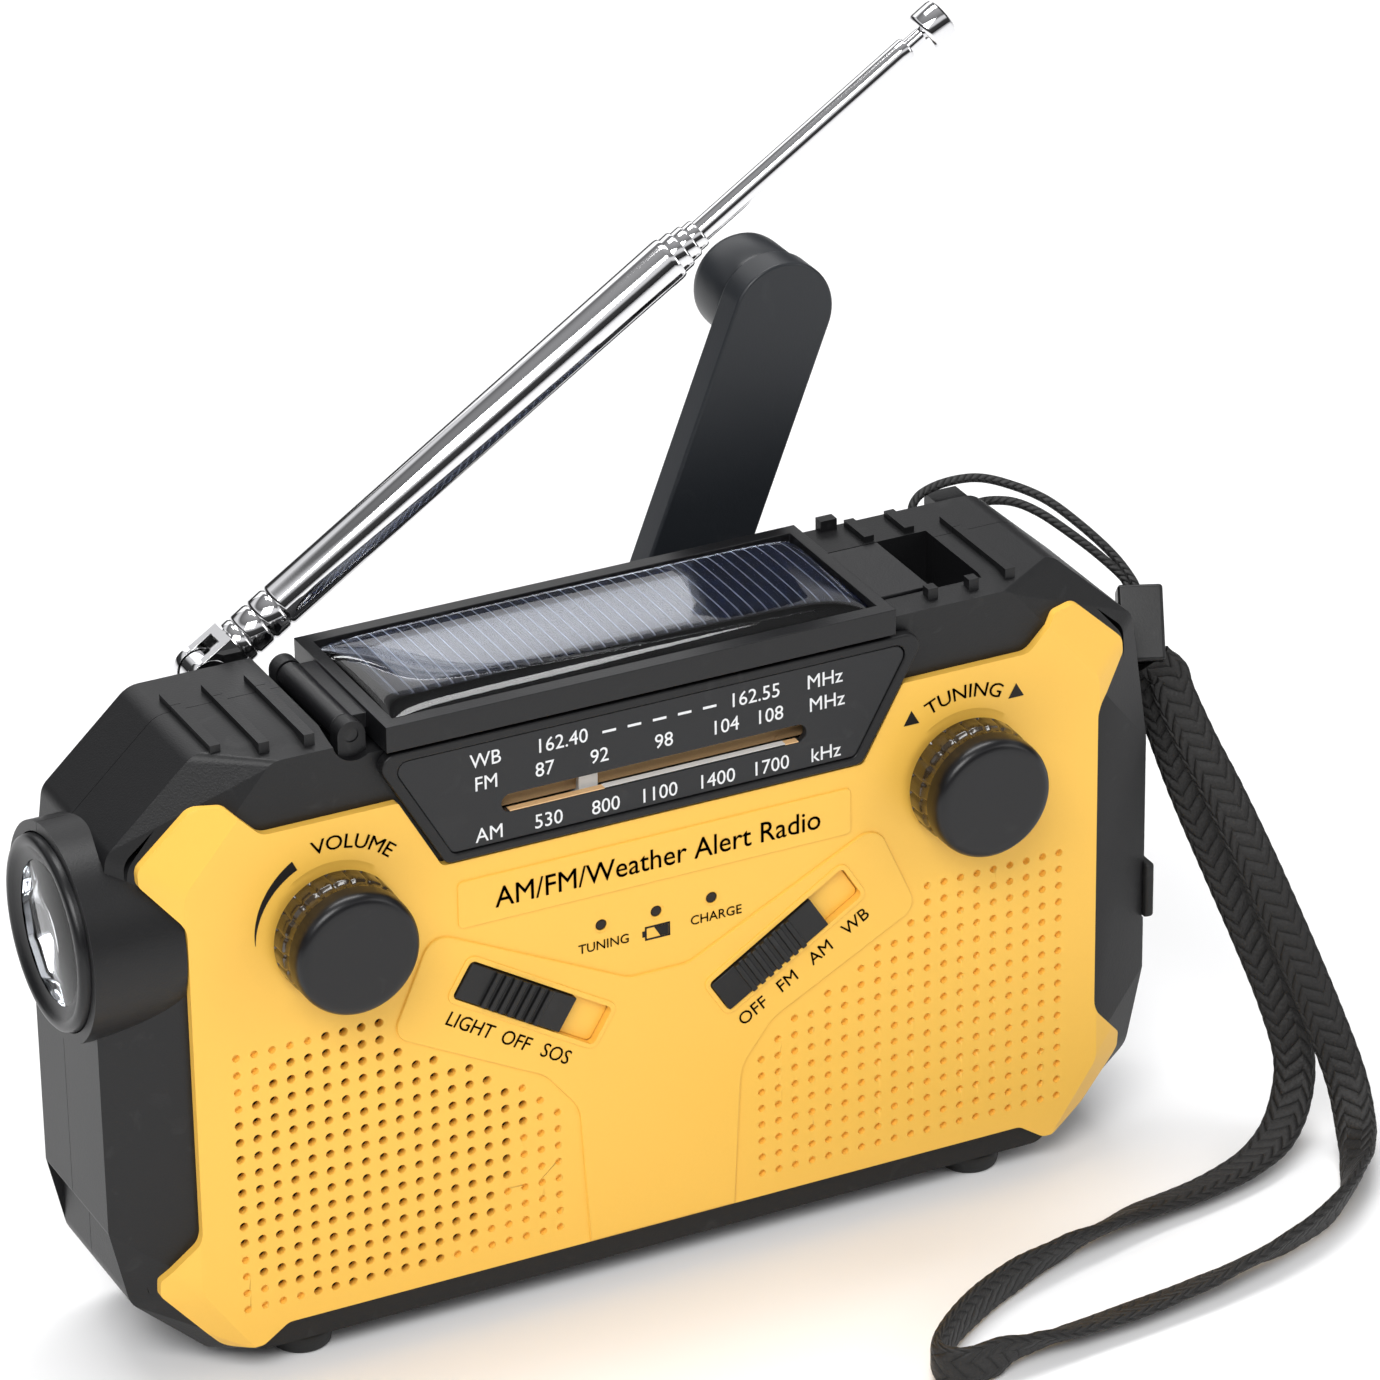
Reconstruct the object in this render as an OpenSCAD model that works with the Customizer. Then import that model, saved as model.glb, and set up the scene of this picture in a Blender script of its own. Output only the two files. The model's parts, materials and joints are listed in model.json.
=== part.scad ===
// Hand-crank emergency radio. Millimetres, +Z up, front face towards -Y, origin on the ground under the casing centre.

/* [Casing] */
// Half the width of the casing over its grip pads
half_w = 79.6; // [78:0.1:80]
// Height of the casing's top face above the ground
top_z = 93.6; // [93:0.1:94]
// Height of the casing's underside above the ground
base_z = 2.9; // [2.5:0.1:3]
// Front face of the yellow panel
panel_y = -16; // [-16.2:0.1:-16]
// Back face of the casing
back_y = 16; // [16:0.1:16.2]
// Plane where the two casing shells meet
seam_y = 2.7; // [2:0.1:3]

/* [Controls] */
// Distance of each knob from the middle
knob_x = 47.5; // [47:0.1:48]
// Height of the knobs
knob_z = 66.2; // [66:0.1:66.4]
// Radius of the knob's fluted skirt
knob_r = 9.1; // [8.5:0.1:9.4]
// Radius of the knob shafts
shaft_r = 3; // [2.5:0.1:3]
// Distance of each slide switch from the middle
switch_x = 19.2; // [19:0.1:19.4]
// Height of the slide switches
switch_z = 48; // [47.8:0.1:48.2]
// Distance from hole to hole in the speaker grille
pitch = 2.6; // [2.6]

/* [Antenna] */
// Height of the antenna's hinge pin
pin_z = 90.4; // [90:0.1:90.6]
// Angle of the antenna above the horizontal
lean = 33.2; // [30:0.1:36]
// Radius of the outer antenna tube
tube_r = 3.3; // [3.3]

/* [Crank] */
// Length of the crank arm from hub to grip
arm_l = 74; // [60:1:76]
// Angle of the crank arm from the vertical
arm_lean = 21.6; // [0:0.1:40]
// Width of the crank arm
arm_w = 15.4; // [14:0.1:16]

/* [Hidden] */
$fn = 48;
gap = 0.3;                          // clearance between pieces that move past each other
panel_back = panel_y + 1.3;         // the panel lies on the casing's front face here
wall_y = -11.4;                     // inside of the casing's front wall
inner_y = 13.8;                     // inside of the casing's back wall
speaker_at = [-42.6, 30.4];
slot_z = 79;                        // middle of the dial's slot
gear_y = [-10.5, -8.5];             // where the tuning gears lie
gear_m = 0.8;                       // module of the tuning gears
tune_teeth = 15;
tune_r = gear_m * tune_teeth / 2;
upper_idler = [29, slot_z - tune_r];
knob_at = [knob_x, knob_z];
pointer_x = -9.2;
hinge_at = [-43, 93];               // solar lid's hinge axis, in X and Z
antenna_at = [-51.3, 17.2];         // antenna swivel axis, in X and Y
hub_at = [12, 53.6];                // crank axis, in X and Z
arm_y = [22, 27];
fold_y = 24.5;                      // crank arm's fold axis
big_m = 1;
crank_teeth = 48;
small_teeth = 12;
wheel_teeth = 36;
dynamo_teeth = 10;
compound_turn = -38;                // direction from the hub to the compound gear
dynamo_turn = -55;                  // direction from the compound gear to the dynamo
compound_at = hub_at + (crank_teeth + small_teeth) / 2 * [cos(compound_turn), sin(compound_turn)];
dynamo_at = compound_at + (wheel_teeth + dynamo_teeth) / 2 * [cos(dynamo_turn), sin(dynamo_turn)];
lamp_at = [-0.7, 67.1];             // flashlight axis, in Y and Z
lug_at = [63, 18.2, 88.6];          // lanyard eyelet
screws = [[-65, 84.2], [66, 84.2], [-71, 25.5], [71, 25.5]];

// ---- shapes that more than one piece uses ----
function unit(v) = v / norm(v);
function arc_at(q, p, s, r) =
    let (a = unit(p - q), b = unit(s - q), half = acos(a * b) / 2, c = q + unit(a + b) * r / sin(half),
         u = q + a * r / tan(half) - c, turn = -sign(cross(a, b)) * (180 - 2 * half), n = 5)
    [for (k = [0:n]) let (t = turn * k / n) c + [u.x * cos(t) - u.y * sin(t), u.x * sin(t) + u.y * cos(t)]];
// rows are [x, z, corner radius]
function rounded(rows) = let (n = len(rows))
    [for (i = [0:n - 1]) let (q = [rows[i][0], rows[i][1]], p = rows[(i + n - 1) % n], s = rows[(i + 1) % n])
        each (rows[i][2] == 0 ? [q] : arc_at(q, [p[0], p[1]], [s[0], s[1]], rows[i][2]))];
function both_sides(right) = rounded(concat(right, [for (i = [len(right) - 1:-1:0])
    [-right[i][0], right[i][1], right[i][2]]]));

module slab(y0, y1) translate([0, y1, 0]) rotate([90, 0, 0]) linear_extrude(y1 - y0) children();
module rod_y(r, y0, y1, at) translate([at[0], y1, at[1]]) rotate([90, 0, 0]) cylinder(r = r, h = y1 - y0);
module rod_x(r, x0, x1, at) translate([x0, at[0], at[1]]) rotate([0, 90, 0]) cylinder(r = r, h = x1 - x0);
module block(low, high) translate(low) cube(high - low);
module slot2d(l, w) {
    square([l - w, w], center = true);
    for (s = [-1, 1]) translate([s * (l - w) / 2, 0]) circle(d = w);
}

// involute gear outline, its first tooth centred on +X
function involute(base, r) = let (a = acos(base / r)) tan(a) * 180 / PI - a;
function gear_points(m, n, slack = 0.12) =
    let (rp = m * n / 2, base = rp * cos(20), root = rp - 1.2 * m, tip = rp + 0.95 * m, low = max(base, root) + 0.01,
         half = 90 / n - slack / rp * 90 / PI + involute(base, rp), steps = 3)
    [for (i = [0:n - 1]) let (mid = 360 * i / n)
        each concat([root * [cos(mid - half), sin(mid - half)]],
            [for (k = [0:steps]) let (r = low + (tip - low) * k / steps, t = mid - half + involute(base, r))
                r * [cos(t), sin(t)]],
            [for (k = [steps:-1:0]) let (r = low + (tip - low) * k / steps, t = mid + half - involute(base, r))
                r * [cos(t), sin(t)]],
            [root * [cos(mid + half), sin(mid + half)]])];
// turn that puts gear b in mesh with gear a, which lies in direction way + 180 from it
function mesh_turn(way, turn_a, na, nb) = way + 180 - (0.5 - (way - turn_a) * na / 360) * 360 / nb;
module gear(at, ys, m, n, turn, bore) difference() {
    translate([at[0], 0, at[1]]) slab(ys[0], ys[1]) rotate(turn) polygon(gear_points(m, n));
    rod_y(bore, ys[0] - 1, ys[1] + 1, at);
}

lower_idler = let (d = upper_idler - knob_at) (knob_at + upper_idler) / 2
    + sqrt(4 * tune_r * tune_r - d * d / 4) * unit([-d.y, d.x]);
function way(a, b) = atan2(b.y - a.y, b.x - a.x);
lower_turn = mesh_turn(way(knob_at, lower_idler), 0, tune_teeth, tune_teeth);
upper_turn = mesh_turn(way(lower_idler, upper_idler), lower_turn, tune_teeth, tune_teeth);
compound_spin = mesh_turn(compound_turn, 0, crank_teeth, small_teeth);
dynamo_spin = mesh_turn(dynamo_turn, compound_spin, wheel_teeth, dynamo_teeth);

// ---- casing ----
outline = both_sides([[65.8, base_z, 3], [77.4, 13.6, 4], [77.4, 23, 0.5], [half_w, 24.6, 1], [half_w, 62, 8],
    [77, 81.6, 3], [64, top_z, 4]]);
face_outline = both_sides([[60.6, 3.7, 3], [68.8, 15.6, 4], [68.6, 76.4, 4], [55, 92.4, 3]]);
hollow = both_sides([[64.8, 5.2, 3], [75, 14.8, 3], [75, 80.6, 3], [63, 91.4, 3]]);
back_outline = both_sides([[64, 5.4, 3], [75, 15.4, 4], [75, 80.4, 3], [62.5, 91.4, 4]]);

module switch_at(side) translate([side * switch_x, 0, switch_z]) rotate([0, side > 0 ? -32 : 31.5, 0]) children();
module rib(x, y0, y1) block([x - 0.75, y0, top_z - 1.2], [x + 0.75, y1, top_z + 0.9]);
module casing_solid() {
    slab(-10, 12.6) polygon(outline);
    hull() {
        slab(-10, -9.9) polygon(outline);
        slab(panel_back, panel_back + 0.1) polygon(face_outline);
    }
    hull() {
        slab(12.5, 12.6) polygon(outline);
        slab(back_y - 0.1, back_y) polygon(back_outline);
    }
    rod_x(15.3, -81.6, -68.6, lamp_at);
    rib(-61.1, -10.6, 6.6);
    rib(-55.1, -12.8, 6.6);
    rib(-48.9, -13.4, 6.6);
    rib(56.2, -12.5, 6.6);
    translate([antenna_at.x, antenna_at.y, 76]) cylinder(r = 4.6, h = 12);
}
module casing_room() {
    difference() {
        slab(wall_y, inner_y) polygon(hollow);
        block([-90, 10.6, 84.2], [54, 20, 100]);            // wall behind the antenna's ledge
        block([-46, wall_y - 1, 87], [54, 20, 100]);        // floor under the lid
        block([42.6, wall_y - 1, 83.2], [54.6, 7.4, 100]);  // finger recess walls
        rod_x(15.3, -82, -72, lamp_at);
        rod_y(9.6, 6.6, 20, [-62, hub_at.y]);               // cup for the folded grip
        for (s = screws) rod_y(2.4, -20, 20, s);
        block([-69, 12.2, 5], [-10, 20, 43]);               // battery bay's rim
    }
    block([-64, 9, 8.6], [-14, 20, 39.6]);
    rod_x(12.4, -90, -68.4, lamp_at);
    rod_x(13.8, -90, -77, lamp_at);
    rod_y(8.2, 8, 20, [-62, hub_at.y]);
    translate([0, 11.6, 0]) block([-66, 2.6, 6.6], [-12, 9, 41.6]);
    // antenna ledge, lid recess, hinge trough, tab recess and finger recess
    block([-90, 13.2, 86.4], [52, 30, 110]);
    translate([antenna_at.x, antenna_at.y, 86.4]) cylinder(r = 4.7, h = 20);
    block([-41.5, -30, 90.4], [36.5, 13.3, 110]);
    translate([hinge_at.x, 13.3, hinge_at.y]) rotate([90, 0, 0]) cylinder(r = 3.2, h = 28);
    block([-45.4, -14.6, 93.2], [-41, 13.2, 110]);
    block([36, -11.1, 91.9], [45.2, 5.1, 110]);
    block([45, -11.1, 86], [52.5, 5.1, 110]);
    block([41, -11.1, 86], [46, 5.1, 90.2]);
    block([-28.3, -7.3, 80], [20.3, 7.3, 100]);
}
module casing_holes() {
    rod_y(21.5, -20, -8, speaker_at);
    for (s = [-1, 1]) rod_y(shaft_r + 0.5, -20, -8, [s * knob_x, knob_z]);
    block([-24, -20, 75.4], [24, -8, 81.9]);
    for (s = [-1, 1]) switch_at(s) block([-5.2, -20, -1.5], [5.2, -8, 1.5]);
    for (x = [-8.3, 0, 8.4]) rod_y(0.95, -20, -8, [x, 56.8]);
    rod_y(4.1, 10, 20, hub_at);
    translate([antenna_at.x, antenna_at.y, 77.4]) cylinder(r = 2.65, h = 20);
    block([79.35, -11.3, 33], [90, 1.3, 42.1]);
    block([70, -9.5, 34.5], [90, -0.5, 40.5]);
    for (s = screws) {
        rod_y(1.25, -8, 14, s);
        rod_y(2.7, 13, 20, s);
    }
    for (x = [-52, 52]) translate([x, -9, 0]) cylinder(r = 2, h = 4.4);
    for (x = [-52, 52]) translate([x, 10, 0]) cylinder(r = 2, h = 4.4);
}
module hinge_ears() for (y = [[-13.6, -11.2], [6.8, 9.2]]) difference() {
    union() {
        rod_y(2, y[0], y[1], hinge_at);
        block([hinge_at.x - 2, y[0], 87.5], [hinge_at.x + 2, y[1], hinge_at.y]);
    }
    rod_y(1.03, y[0] - 1, y[1] + 1, hinge_at);
}
module casing_half(y0, y1) intersection() {
    union() {
        difference() {
            casing_solid();
            casing_room();
            casing_holes();
        }
        hinge_ears();
    }
    block([-100, y0, 0], [100, y1, 110]);
}

module front_shell() color("#2b2c2e") {
    casing_half(-20, seam_y);
    for (x = [[43.9, 1], [50.2, 1]]) rib(x[0], -13.2, -11.6);
}
module rear_shell() color("#2b2c2e") {
    casing_half(seam_y + 0.1, 40);
    for (x = [43.9, 50.2]) rib(x, 5.6, 11.8);
    // nub that holds the folded antenna, and the lanyard eyelet
    block([39.4, 11.4, 93], [41.9, 13.1, 95.2]);
    difference() {
        block([60.5, 15.9, 85.4], [65.5, 20.6, 91.2]);
        rod_x(1.7, 59, 67, [lug_at.y, lug_at.z]);
    }
}

// ---- front panel and dial ----
panel_outline = both_sides([[56.5, 7.8, 2], [60.3, 5.2, 2], [65.2, 5.2, 3], [73.8, 15.2, 1.2], [73.8, 17.6, 1.2],
    [68.4, 23.8, 4], [68.4, 71.5, 4], [73.8, 77.8, 1.2], [73.8, 80, 2], [66, 87.4, 3], [61.9, 87.4, 1.5],
    [57.3, 82.7, 2.5], [37.7, 82.7, 0.5], [31.6, 71.8, 1]]);
// how many holes each grille row has, counted from the outer side
row_holes = [for (r = [0:15]) r < 8 ? 19 : r < 13 ? 34 - 2 * r + floor((r - 7) / 2) : r < 14 ? 10 : 9];
module speaker_holes() for (row = [0:15], col = [0:18])
    if (norm([col - 7.6, row - 7.3]) < 8.5 && col < row_holes[row])
        rod_y(0.6, -20, -10, [-62.4 + pitch * col, 11.44 + pitch * row]);
module front_panel() color("#fdc653") difference() {
    intersection() {
        slab(panel_y, -9) polygon(panel_outline);
        hull() {
            slab(panel_y, panel_y + 0.1) polygon(face_outline);
            slab(-11.2, -11.1) polygon(outline);
        }
    }
    hull() {
        slab(-10, -9.9) polygon(outline);
        slab(panel_back - 0.02, panel_back + 0.1) polygon(face_outline);
    }
    rod_x(15.36, -90, -68.5, lamp_at);
    speaker_holes();
    for (s = [-1, 1]) {
        rod_y(shaft_r + 1, -20, -10, [s * knob_x, knob_z]);
        switch_at(s) block([-12.2, -20, -2.95], [12.2, -10, 2.95]);
    }
    for (x = [-8.3, 0, 8.4]) rod_y(0.85, -20, -10, [x, 56.8]);
}

bezel_outline = both_sides([[31.2, 72.2, 1.5], [41.5, 90.3, 2]]);
plate_outline = both_sides([[30.1, 73.4, 1.2], [38.9, 88.9, 1.5]]);
module dial_bezel() color("#232426") difference() {
    slab(panel_y - 0.6, panel_back - 0.05) polygon(bezel_outline);
    slab(-20, panel_back + 1) polygon(plate_outline);
}
module dial_plate() color("#34363a") difference() {
    slab(panel_y - 0.3, panel_y + 0.9) polygon(both_sides([[30.2, 73.5, 1.2], [38.8, 88.8, 1.5]]));
    translate([0, 0, slot_z]) slab(-20, -10) slot2d(45.6, 2.6);
}
module dial_backplate() color("#8a6a45") block([-23.8, -13.2, 77.3], [23.8, -12.8, 80.8]);

// ---- tuning drive ----
rack_p = PI * gear_m;
rack_phase = (90 - upper_turn) * tune_teeth / 360;
module rack_tooth(x) translate([x, 0, slot_z]) slab(gear_y[0], gear_y[1])
    polygon([[-0.86, 1.1], [-0.34, -0.72], [0.34, -0.72], [0.86, 1.1]]);
module pointer_rack() color("#f2f2f0") {
    block([pointer_x - 1.4, -14.5, 75.9], [pointer_x + 1.4, -13.6, 80.4]);
    block([pointer_x - 1.4, -13.7, 75.9], [pointer_x + 1.4, -10.5, 76.9]);
    block([pointer_x - 1.4, -12.3, 75.9], [pointer_x + 1.4, -11.2, 81.6]);
    block([pointer_x - 1.4, -11.3, 80.1], [pointer_x + 1.4, -8.5, 81.6]);
    block([pointer_x - 1, gear_y[0], 80], [43.7, gear_y[1], 81.6]);
    for (k = [-12:6]) let (x = upper_idler.x + (rack_phase - floor(rack_phase) + 0.5 + k) * rack_p)
        if (x > 0.5 && x < 42.8) rack_tooth(x);
}
module tuning_gear() color("#e8e6df") gear(knob_at, gear_y, gear_m, tune_teeth, 0, shaft_r + 0.02);
module idler_gear_lower() color("#e8e6df") gear(lower_idler, gear_y, gear_m, tune_teeth, lower_turn, 1.27);
module idler_gear_upper() color("#e8e6df") gear(upper_idler, gear_y, gear_m, tune_teeth, upper_turn, 1.27);
module gear_pins() color("#b9bcc0") {
    for (p = [lower_idler, upper_idler]) {
        rod_y(1.2, wall_y, -8, p);
        rod_y(2, -8.3, -7.8, p);
    }
    rod_y(1.2, -2.7, inner_y, compound_at);
}

module knob(side) color("#1d1c1b") difference() {
    translate([side * knob_x, 0, knob_z]) rotate([90, 0, 0]) rotate_extrude() polygon([[0, 16.5], [knob_r, 16.5],
        [knob_r - 0.1, 19.4], [knob_r - 0.4, 19.6], [knob_r - 0.6, 24], [knob_r - 0.9, 24.5], [knob_r - 1.6, 24.7],
        [0, 24.7]]);
    rod_y(shaft_r + 0.02, -22.1, -10, [side * knob_x, knob_z]);
}
module tuning_knob() knob(1);
module volume_knob() knob(-1);
module tuning_shaft() color("#b9bcc0") rod_y(shaft_r, -22, -3.4, knob_at);
module volume_shaft() color("#b9bcc0") rod_y(shaft_r, -22, -7.4, [-knob_x, knob_z]);
module tuning_capacitor() color("#d9dbd6") difference() {
    block([knob_x - 9, -4.6, knob_z - 9], [knob_x + 9, 2.4, knob_z + 9]);
    rod_y(shaft_r + 0.05, -5, -3.2, knob_at);
}
module volume_pot() color("#7d8288") difference() {
    union() {
        rod_y(8, -9.4, -4.4, [-knob_x, knob_z]);
        rod_y(4.5, -11.3, -9, [-knob_x, knob_z]);
    }
    rod_y(shaft_r + 0.05, -12, -7.2, [-knob_x, knob_z]);
}

// ---- slide switches and indicators ----
module slider() {
    block([-9, -17, -2.7], [9, panel_back - 0.15, 2.7]);
    for (k = [-3:3]) block([k * 1.5 - 0.4, -17.5, -2.7], [k * 1.5 + 0.4, -16.9, 2.7]);
    block([-1.5, -15, -0.9], [1.5, -10, 0.9]);
}
module light_switch_slider() color("#202122") switch_at(-1) translate([-3.05, 0, 0]) slider();
module band_switch_slider() color("#202122") switch_at(1) translate([-3.05, 0, 0]) slider();
module slide_switch_bodies() color("#a9adb2") for (s = [-1, 1]) switch_at(s) difference() {
    block([-8.5, wall_y + 0.05, -3.2], [8.5, -5.8, 3.2]);
    block([-5, -20, -1.1], [5, -9, 1.1]);
}
module indicator_leds() color("#d8d8d0") for (x = [-8.3, 0, 8.4]) {
    rod_y(0.8, -15.7, -10.6, [x, 56.8]);
    rod_y(1.5, -11.3, -8, [x, 56.8]);
}

// ---- solar lid ----
lid_y = [-17.3, 13];
module solar_lid() color("#242527") {
    difference() {
        block([-39.6, lid_y[0], 91.1], [36, lid_y[1], 94.9]);
        block([-37.7, -15, 92.6], [34.2, 10.8, 100]);
    }
    difference() {
        union() {
            rod_y(1.9, -10.9, 6.5, hinge_at);
            block([hinge_at.x, -10.9, 92.1], [-39.5, 6.5, 94.4]);
        }
        rod_y(1.03, -12, 8, hinge_at);
    }
    block([35.9, -10.8, 92.3], [44.7, 4.8, 93.7]);
}
module lid_hinge_pin() color("#b9bcc0") rod_y(1, -13.4, 9, hinge_at);
module solar_cell() color("#141b3a") block([-37.3, -14.7, 92.65], [33.8, 10.5, 93.3]);
module solar_cover() color("#2a3a66") hull() {
    block([-37.6, -14.9, 93.35], [34.1, 10.7, 94.6]);
    block([-30, -10, 96], [26.5, 6, 96.3]);
}
module reading_lamp() color("#f4f4ea") {
    block([-28.1, -7.1, 88.8], [20.1, 7.1, 90.3]);
    for (x = [-22:7:14]) block([x, -2, 88], [x + 3, 2, 88.9]);
}

// ---- flashlight ----
module flashlight_bezel() color("#202122") difference() {
    rod_x(13.6, -83, -77.1, lamp_at);
    rod_x(11.2, -82, -77, lamp_at);
    translate([-84, lamp_at.x, lamp_at.y]) rotate([0, 90, 0]) cylinder(r1 = 13.4, r2 = 9.9, h = 2.05);
}
module flashlight_lens() color("#dfe6ea") rod_x(11, -81.9, -81, lamp_at);
module flashlight_reflector() color("#c8cacc") translate([0, lamp_at.x, lamp_at.y]) rotate([0, 90, 0]) rotate_extrude()
    polygon([[11, -80.9], [10.6, -80.9], [9.6, -78], [7.2, -74], [3, -70.6], [3, -70], [4, -70], [8, -73.6],
        [10.4, -77.6], [11, -79]]);
module flashlight_led() color("#e8d98a") {
    rod_x(2.2, -73, -69.5, lamp_at);
    rod_x(8.5, -69.5, -68.6, lamp_at);
}

// ---- antenna ----
module along_antenna() translate([antenna_at.x, antenna_at.y, pin_z]) rotate([0, -lean, 0]) children();
module stub(r, a, b) rotate([0, 90, 0]) translate([0, 0, a]) cylinder(r = r, h = b - a);
module tube(r, inner, a, b) difference() {
    stub(r, a, b);
    stub(inner, a - 1, b + 1);
}
module pin_hole(r) translate([antenna_at.x, antenna_at.y + 4, pin_z]) rotate([90, 0, 0]) cylinder(r = r, h = 8);
module antenna_swivel() color("#c9cbce") difference() {
    union() {
        translate([antenna_at.x, antenna_at.y, 77.6]) cylinder(r = 2.6, h = 9);
        translate([antenna_at.x, antenna_at.y, 86.5]) cylinder(r = 3, h = 0.6);
        translate([antenna_at.x, antenna_at.y + 1.2, pin_z]) rotate([90, 0, 0]) cylinder(r = 2.9, h = 2.4);
        block([antenna_at.x - 2.9, antenna_at.y - 1.2, 86.9], [antenna_at.x + 2.9, antenna_at.y + 1.2, pin_z]);
    }
    pin_hole(1.24);
}
module antenna_knuckle() color("#c9cbce") difference() {
    union() {
        for (s = [-1, 1]) {
            translate([antenna_at.x, antenna_at.y + s * 2.15 + 0.7, pin_z]) rotate([90, 0, 0]) cylinder(r = 3.1, h = 1.4);
            along_antenna() block([0.4, s * 2.15 - 0.62, -2.95], [5, s * 2.15 + 0.62, 2.95]);
        }
        along_antenna() {
            block([4.4, -2.77, -2.95], [5.8, 2.77, 2.95]);
            stub(2.7, 5.7, 13);
        }
    }
    pin_hole(1.22);
}
module antenna_pin() color("#d7d9db") {
    translate([antenna_at.x, antenna_at.y + 3.2, pin_z]) rotate([90, 0, 0]) cylinder(r = 1.2, h = 6.4);
    for (y = [-2.87, 3.25]) translate([antenna_at.x, antenna_at.y + y, pin_z]) rotate([90, 0, 0])
        cylinder(r = 1.9, h = 0.38);
}
module antenna_tube() color("#d7d9db") along_antenna() {
    tube(3.3, 3, 6, 84);
    tube(3.3, 2.93, 83.9, 85);
}
module antenna_section_2() color("#d7d9db") along_antenna() tube(2.9, 2.65, 14, 86.8);
module antenna_section_3() color("#d7d9db") along_antenna() tube(2.52, 2.25, 15, 88.5);
module antenna_section_4() color("#d7d9db") along_antenna() tube(2.12, 1.8, 16, 90.1);
module antenna_section_5() color("#d7d9db") along_antenna() tube(1.65, 1.25, 54, 128.2);
module antenna_tip() color("#d7d9db") along_antenna() {
    stub(1.1, 58, 131);
    stub(2.9, 130.9, 134.9);
}

// ---- crank and dynamo ----
module arm_frame() translate([hub_at.x, 0, hub_at.y]) rotate([0, arm_lean, 0]) children();
module fold_rod(r, l) translate([-l / 2, fold_y, 0]) rotate([0, 90, 0]) cylinder(r = r, h = l);
module crank_hub() color("#2a2d33") {
    rod_y(11, 16.3, 20, hub_at);
    rod_y(4, 12.4, 16.4, hub_at);
    rod_y(3, 9.6, 12.5, hub_at);
    arm_frame() difference() {
        for (s = [-1, 1]) translate([s * 6.4, 0, 0]) union() {
            block([-1.1, 19.9, -4.6], [1.1, fold_y, 4.6]);
            translate([-1.1, fold_y, 0]) rotate([0, 90, 0]) cylinder(r = 2.5, h = 2.2);
        }
        fold_rod(1.52, 20);
    }
}
module crank_arm() color("#2f333a") arm_frame() difference() {
    union() {
        translate([-5, fold_y, 0]) rotate([0, 90, 0]) cylinder(r = 2.5, h = 10);
        block([-5, arm_y[0], 0], [5, arm_y[1], 8]);
        block([-arm_w / 2, arm_y[0], 7], [arm_w / 2, arm_y[1], arm_l]);
        rod_y(arm_w / 2, arm_y[0], arm_y[1], [0, arm_l]);
    }
    fold_rod(1.56, 20);
    rod_y(1.53, arm_y[0] + 1, 40, [0, arm_l]);
}
module crank_hinge_pin() color("#b9bcc0") arm_frame() fold_rod(1.5, 15);
module crank_grip() color("#2a2d33") arm_frame() difference() {
    translate([0, 0, arm_l]) rotate([-90, 0, 0]) rotate_extrude() polygon([[0, 27.4], [6.6, 27.4], [7.3, 28],
        [7.3, 35.4], [6.9, 36.3], [6, 36.7], [0, 36.7]]);
    rod_y(1.56, 20, 40, [0, arm_l]);
    rod_y(3.3, 35.4, 40, [0, arm_l]);
}
module grip_pin() color("#b9bcc0") arm_frame() {
    rod_y(1.5, arm_y[0] + 1, 35.8, [0, arm_l]);
    rod_y(3, 35.7, 36.4, [0, arm_l]);
}
module crank_gear() color("#e8e6df") gear(hub_at, [10, 12.2], big_m, crank_teeth, 0, 3.02);
module compound_gear() color("#e8e6df") {
    gear(compound_at, [10, 12.2], big_m, small_teeth, compound_spin, 1.27);
    gear(compound_at, [7.2, 9.4], big_m, wheel_teeth, compound_spin, 1.27);
    difference() {
        rod_y(4, 9.3, 10.1, compound_at);
        rod_y(1.27, 9, 11, compound_at);
    }
}
module dynamo_pinion() color("#d0b070") {
    gear(dynamo_at, [7.2, 9.4], big_m, dynamo_teeth, dynamo_spin, 0.9);
    rod_y(1, 4, 10, dynamo_at);
}
module dynamo() color("#9a9ea3") difference() {
    union() {
        rod_y(10.4, -6, 5.3, dynamo_at);
        rod_y(3, 5.2, 6.4, dynamo_at);
    }
    rod_y(1.05, 3.8, 8, dynamo_at);
}

// ---- other insides ----
module battery_pack() color("#3f6ea8") block([-63.6, 4.6, 9.2], [-14.4, 13, 39]);
module battery_door() color("#28292b") {
    block([-65.7, 14.3, 6.9], [-12.3, back_y - 0.2, 41.3]);
    for (k = [0:4]) block([-20 - 2 * k, back_y - 0.3, 16], [-19.2 - 2 * k, back_y + 0.2, 32]);
}
module main_board() color("#2d6b3f") block([-14, -4.2, 28.6], [68, -2.8, 55.6]);
module speaker() color("#3a3a3c") {
    translate([speaker_at.x, 0, speaker_at.y]) rotate([90, 0, 0]) rotate_extrude() polygon([[0, 6.6], [5, 6.6],
        [20, 10.4], [20, 11.3], [23.5, 11.3], [23.5, 10.3], [20.6, 9.6], [12, 3.4], [0, 3.4]]);
    rod_y(10.5, -3.35, 3.6, speaker_at);
}
module ferrite_antenna() color("#2c2a2a") {
    rod_x(3.6, -24, 34, [5.4, 82.6]);
    difference() {
        rod_x(4.6, -8, 12, [5.4, 82.6]);
        rod_x(3.6, -9, 13, [5.4, 82.6]);
    }
}
module port_jacks() color("#a9adb2") {
    block([68.1, -8.8, 35], [76.4, -6, 40]);
    block([68.1, -5.2, 35.6], [76.4, -1.6, 39.4]);
}
module port_cover() color("#1c1d1e") {
    block([79.5, -10.9, 33.2], [80.9, 0.9, 41.8]);
    block([77.5, -9, 35], [79.6, -1, 40]);
}
module case_screws() color("#8d9196") {
    for (s = screws) {
        rod_y(1.2, -6, 13.1, s);
        rod_y(2.5, 13.1, 14.6, s);
    }
}
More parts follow.
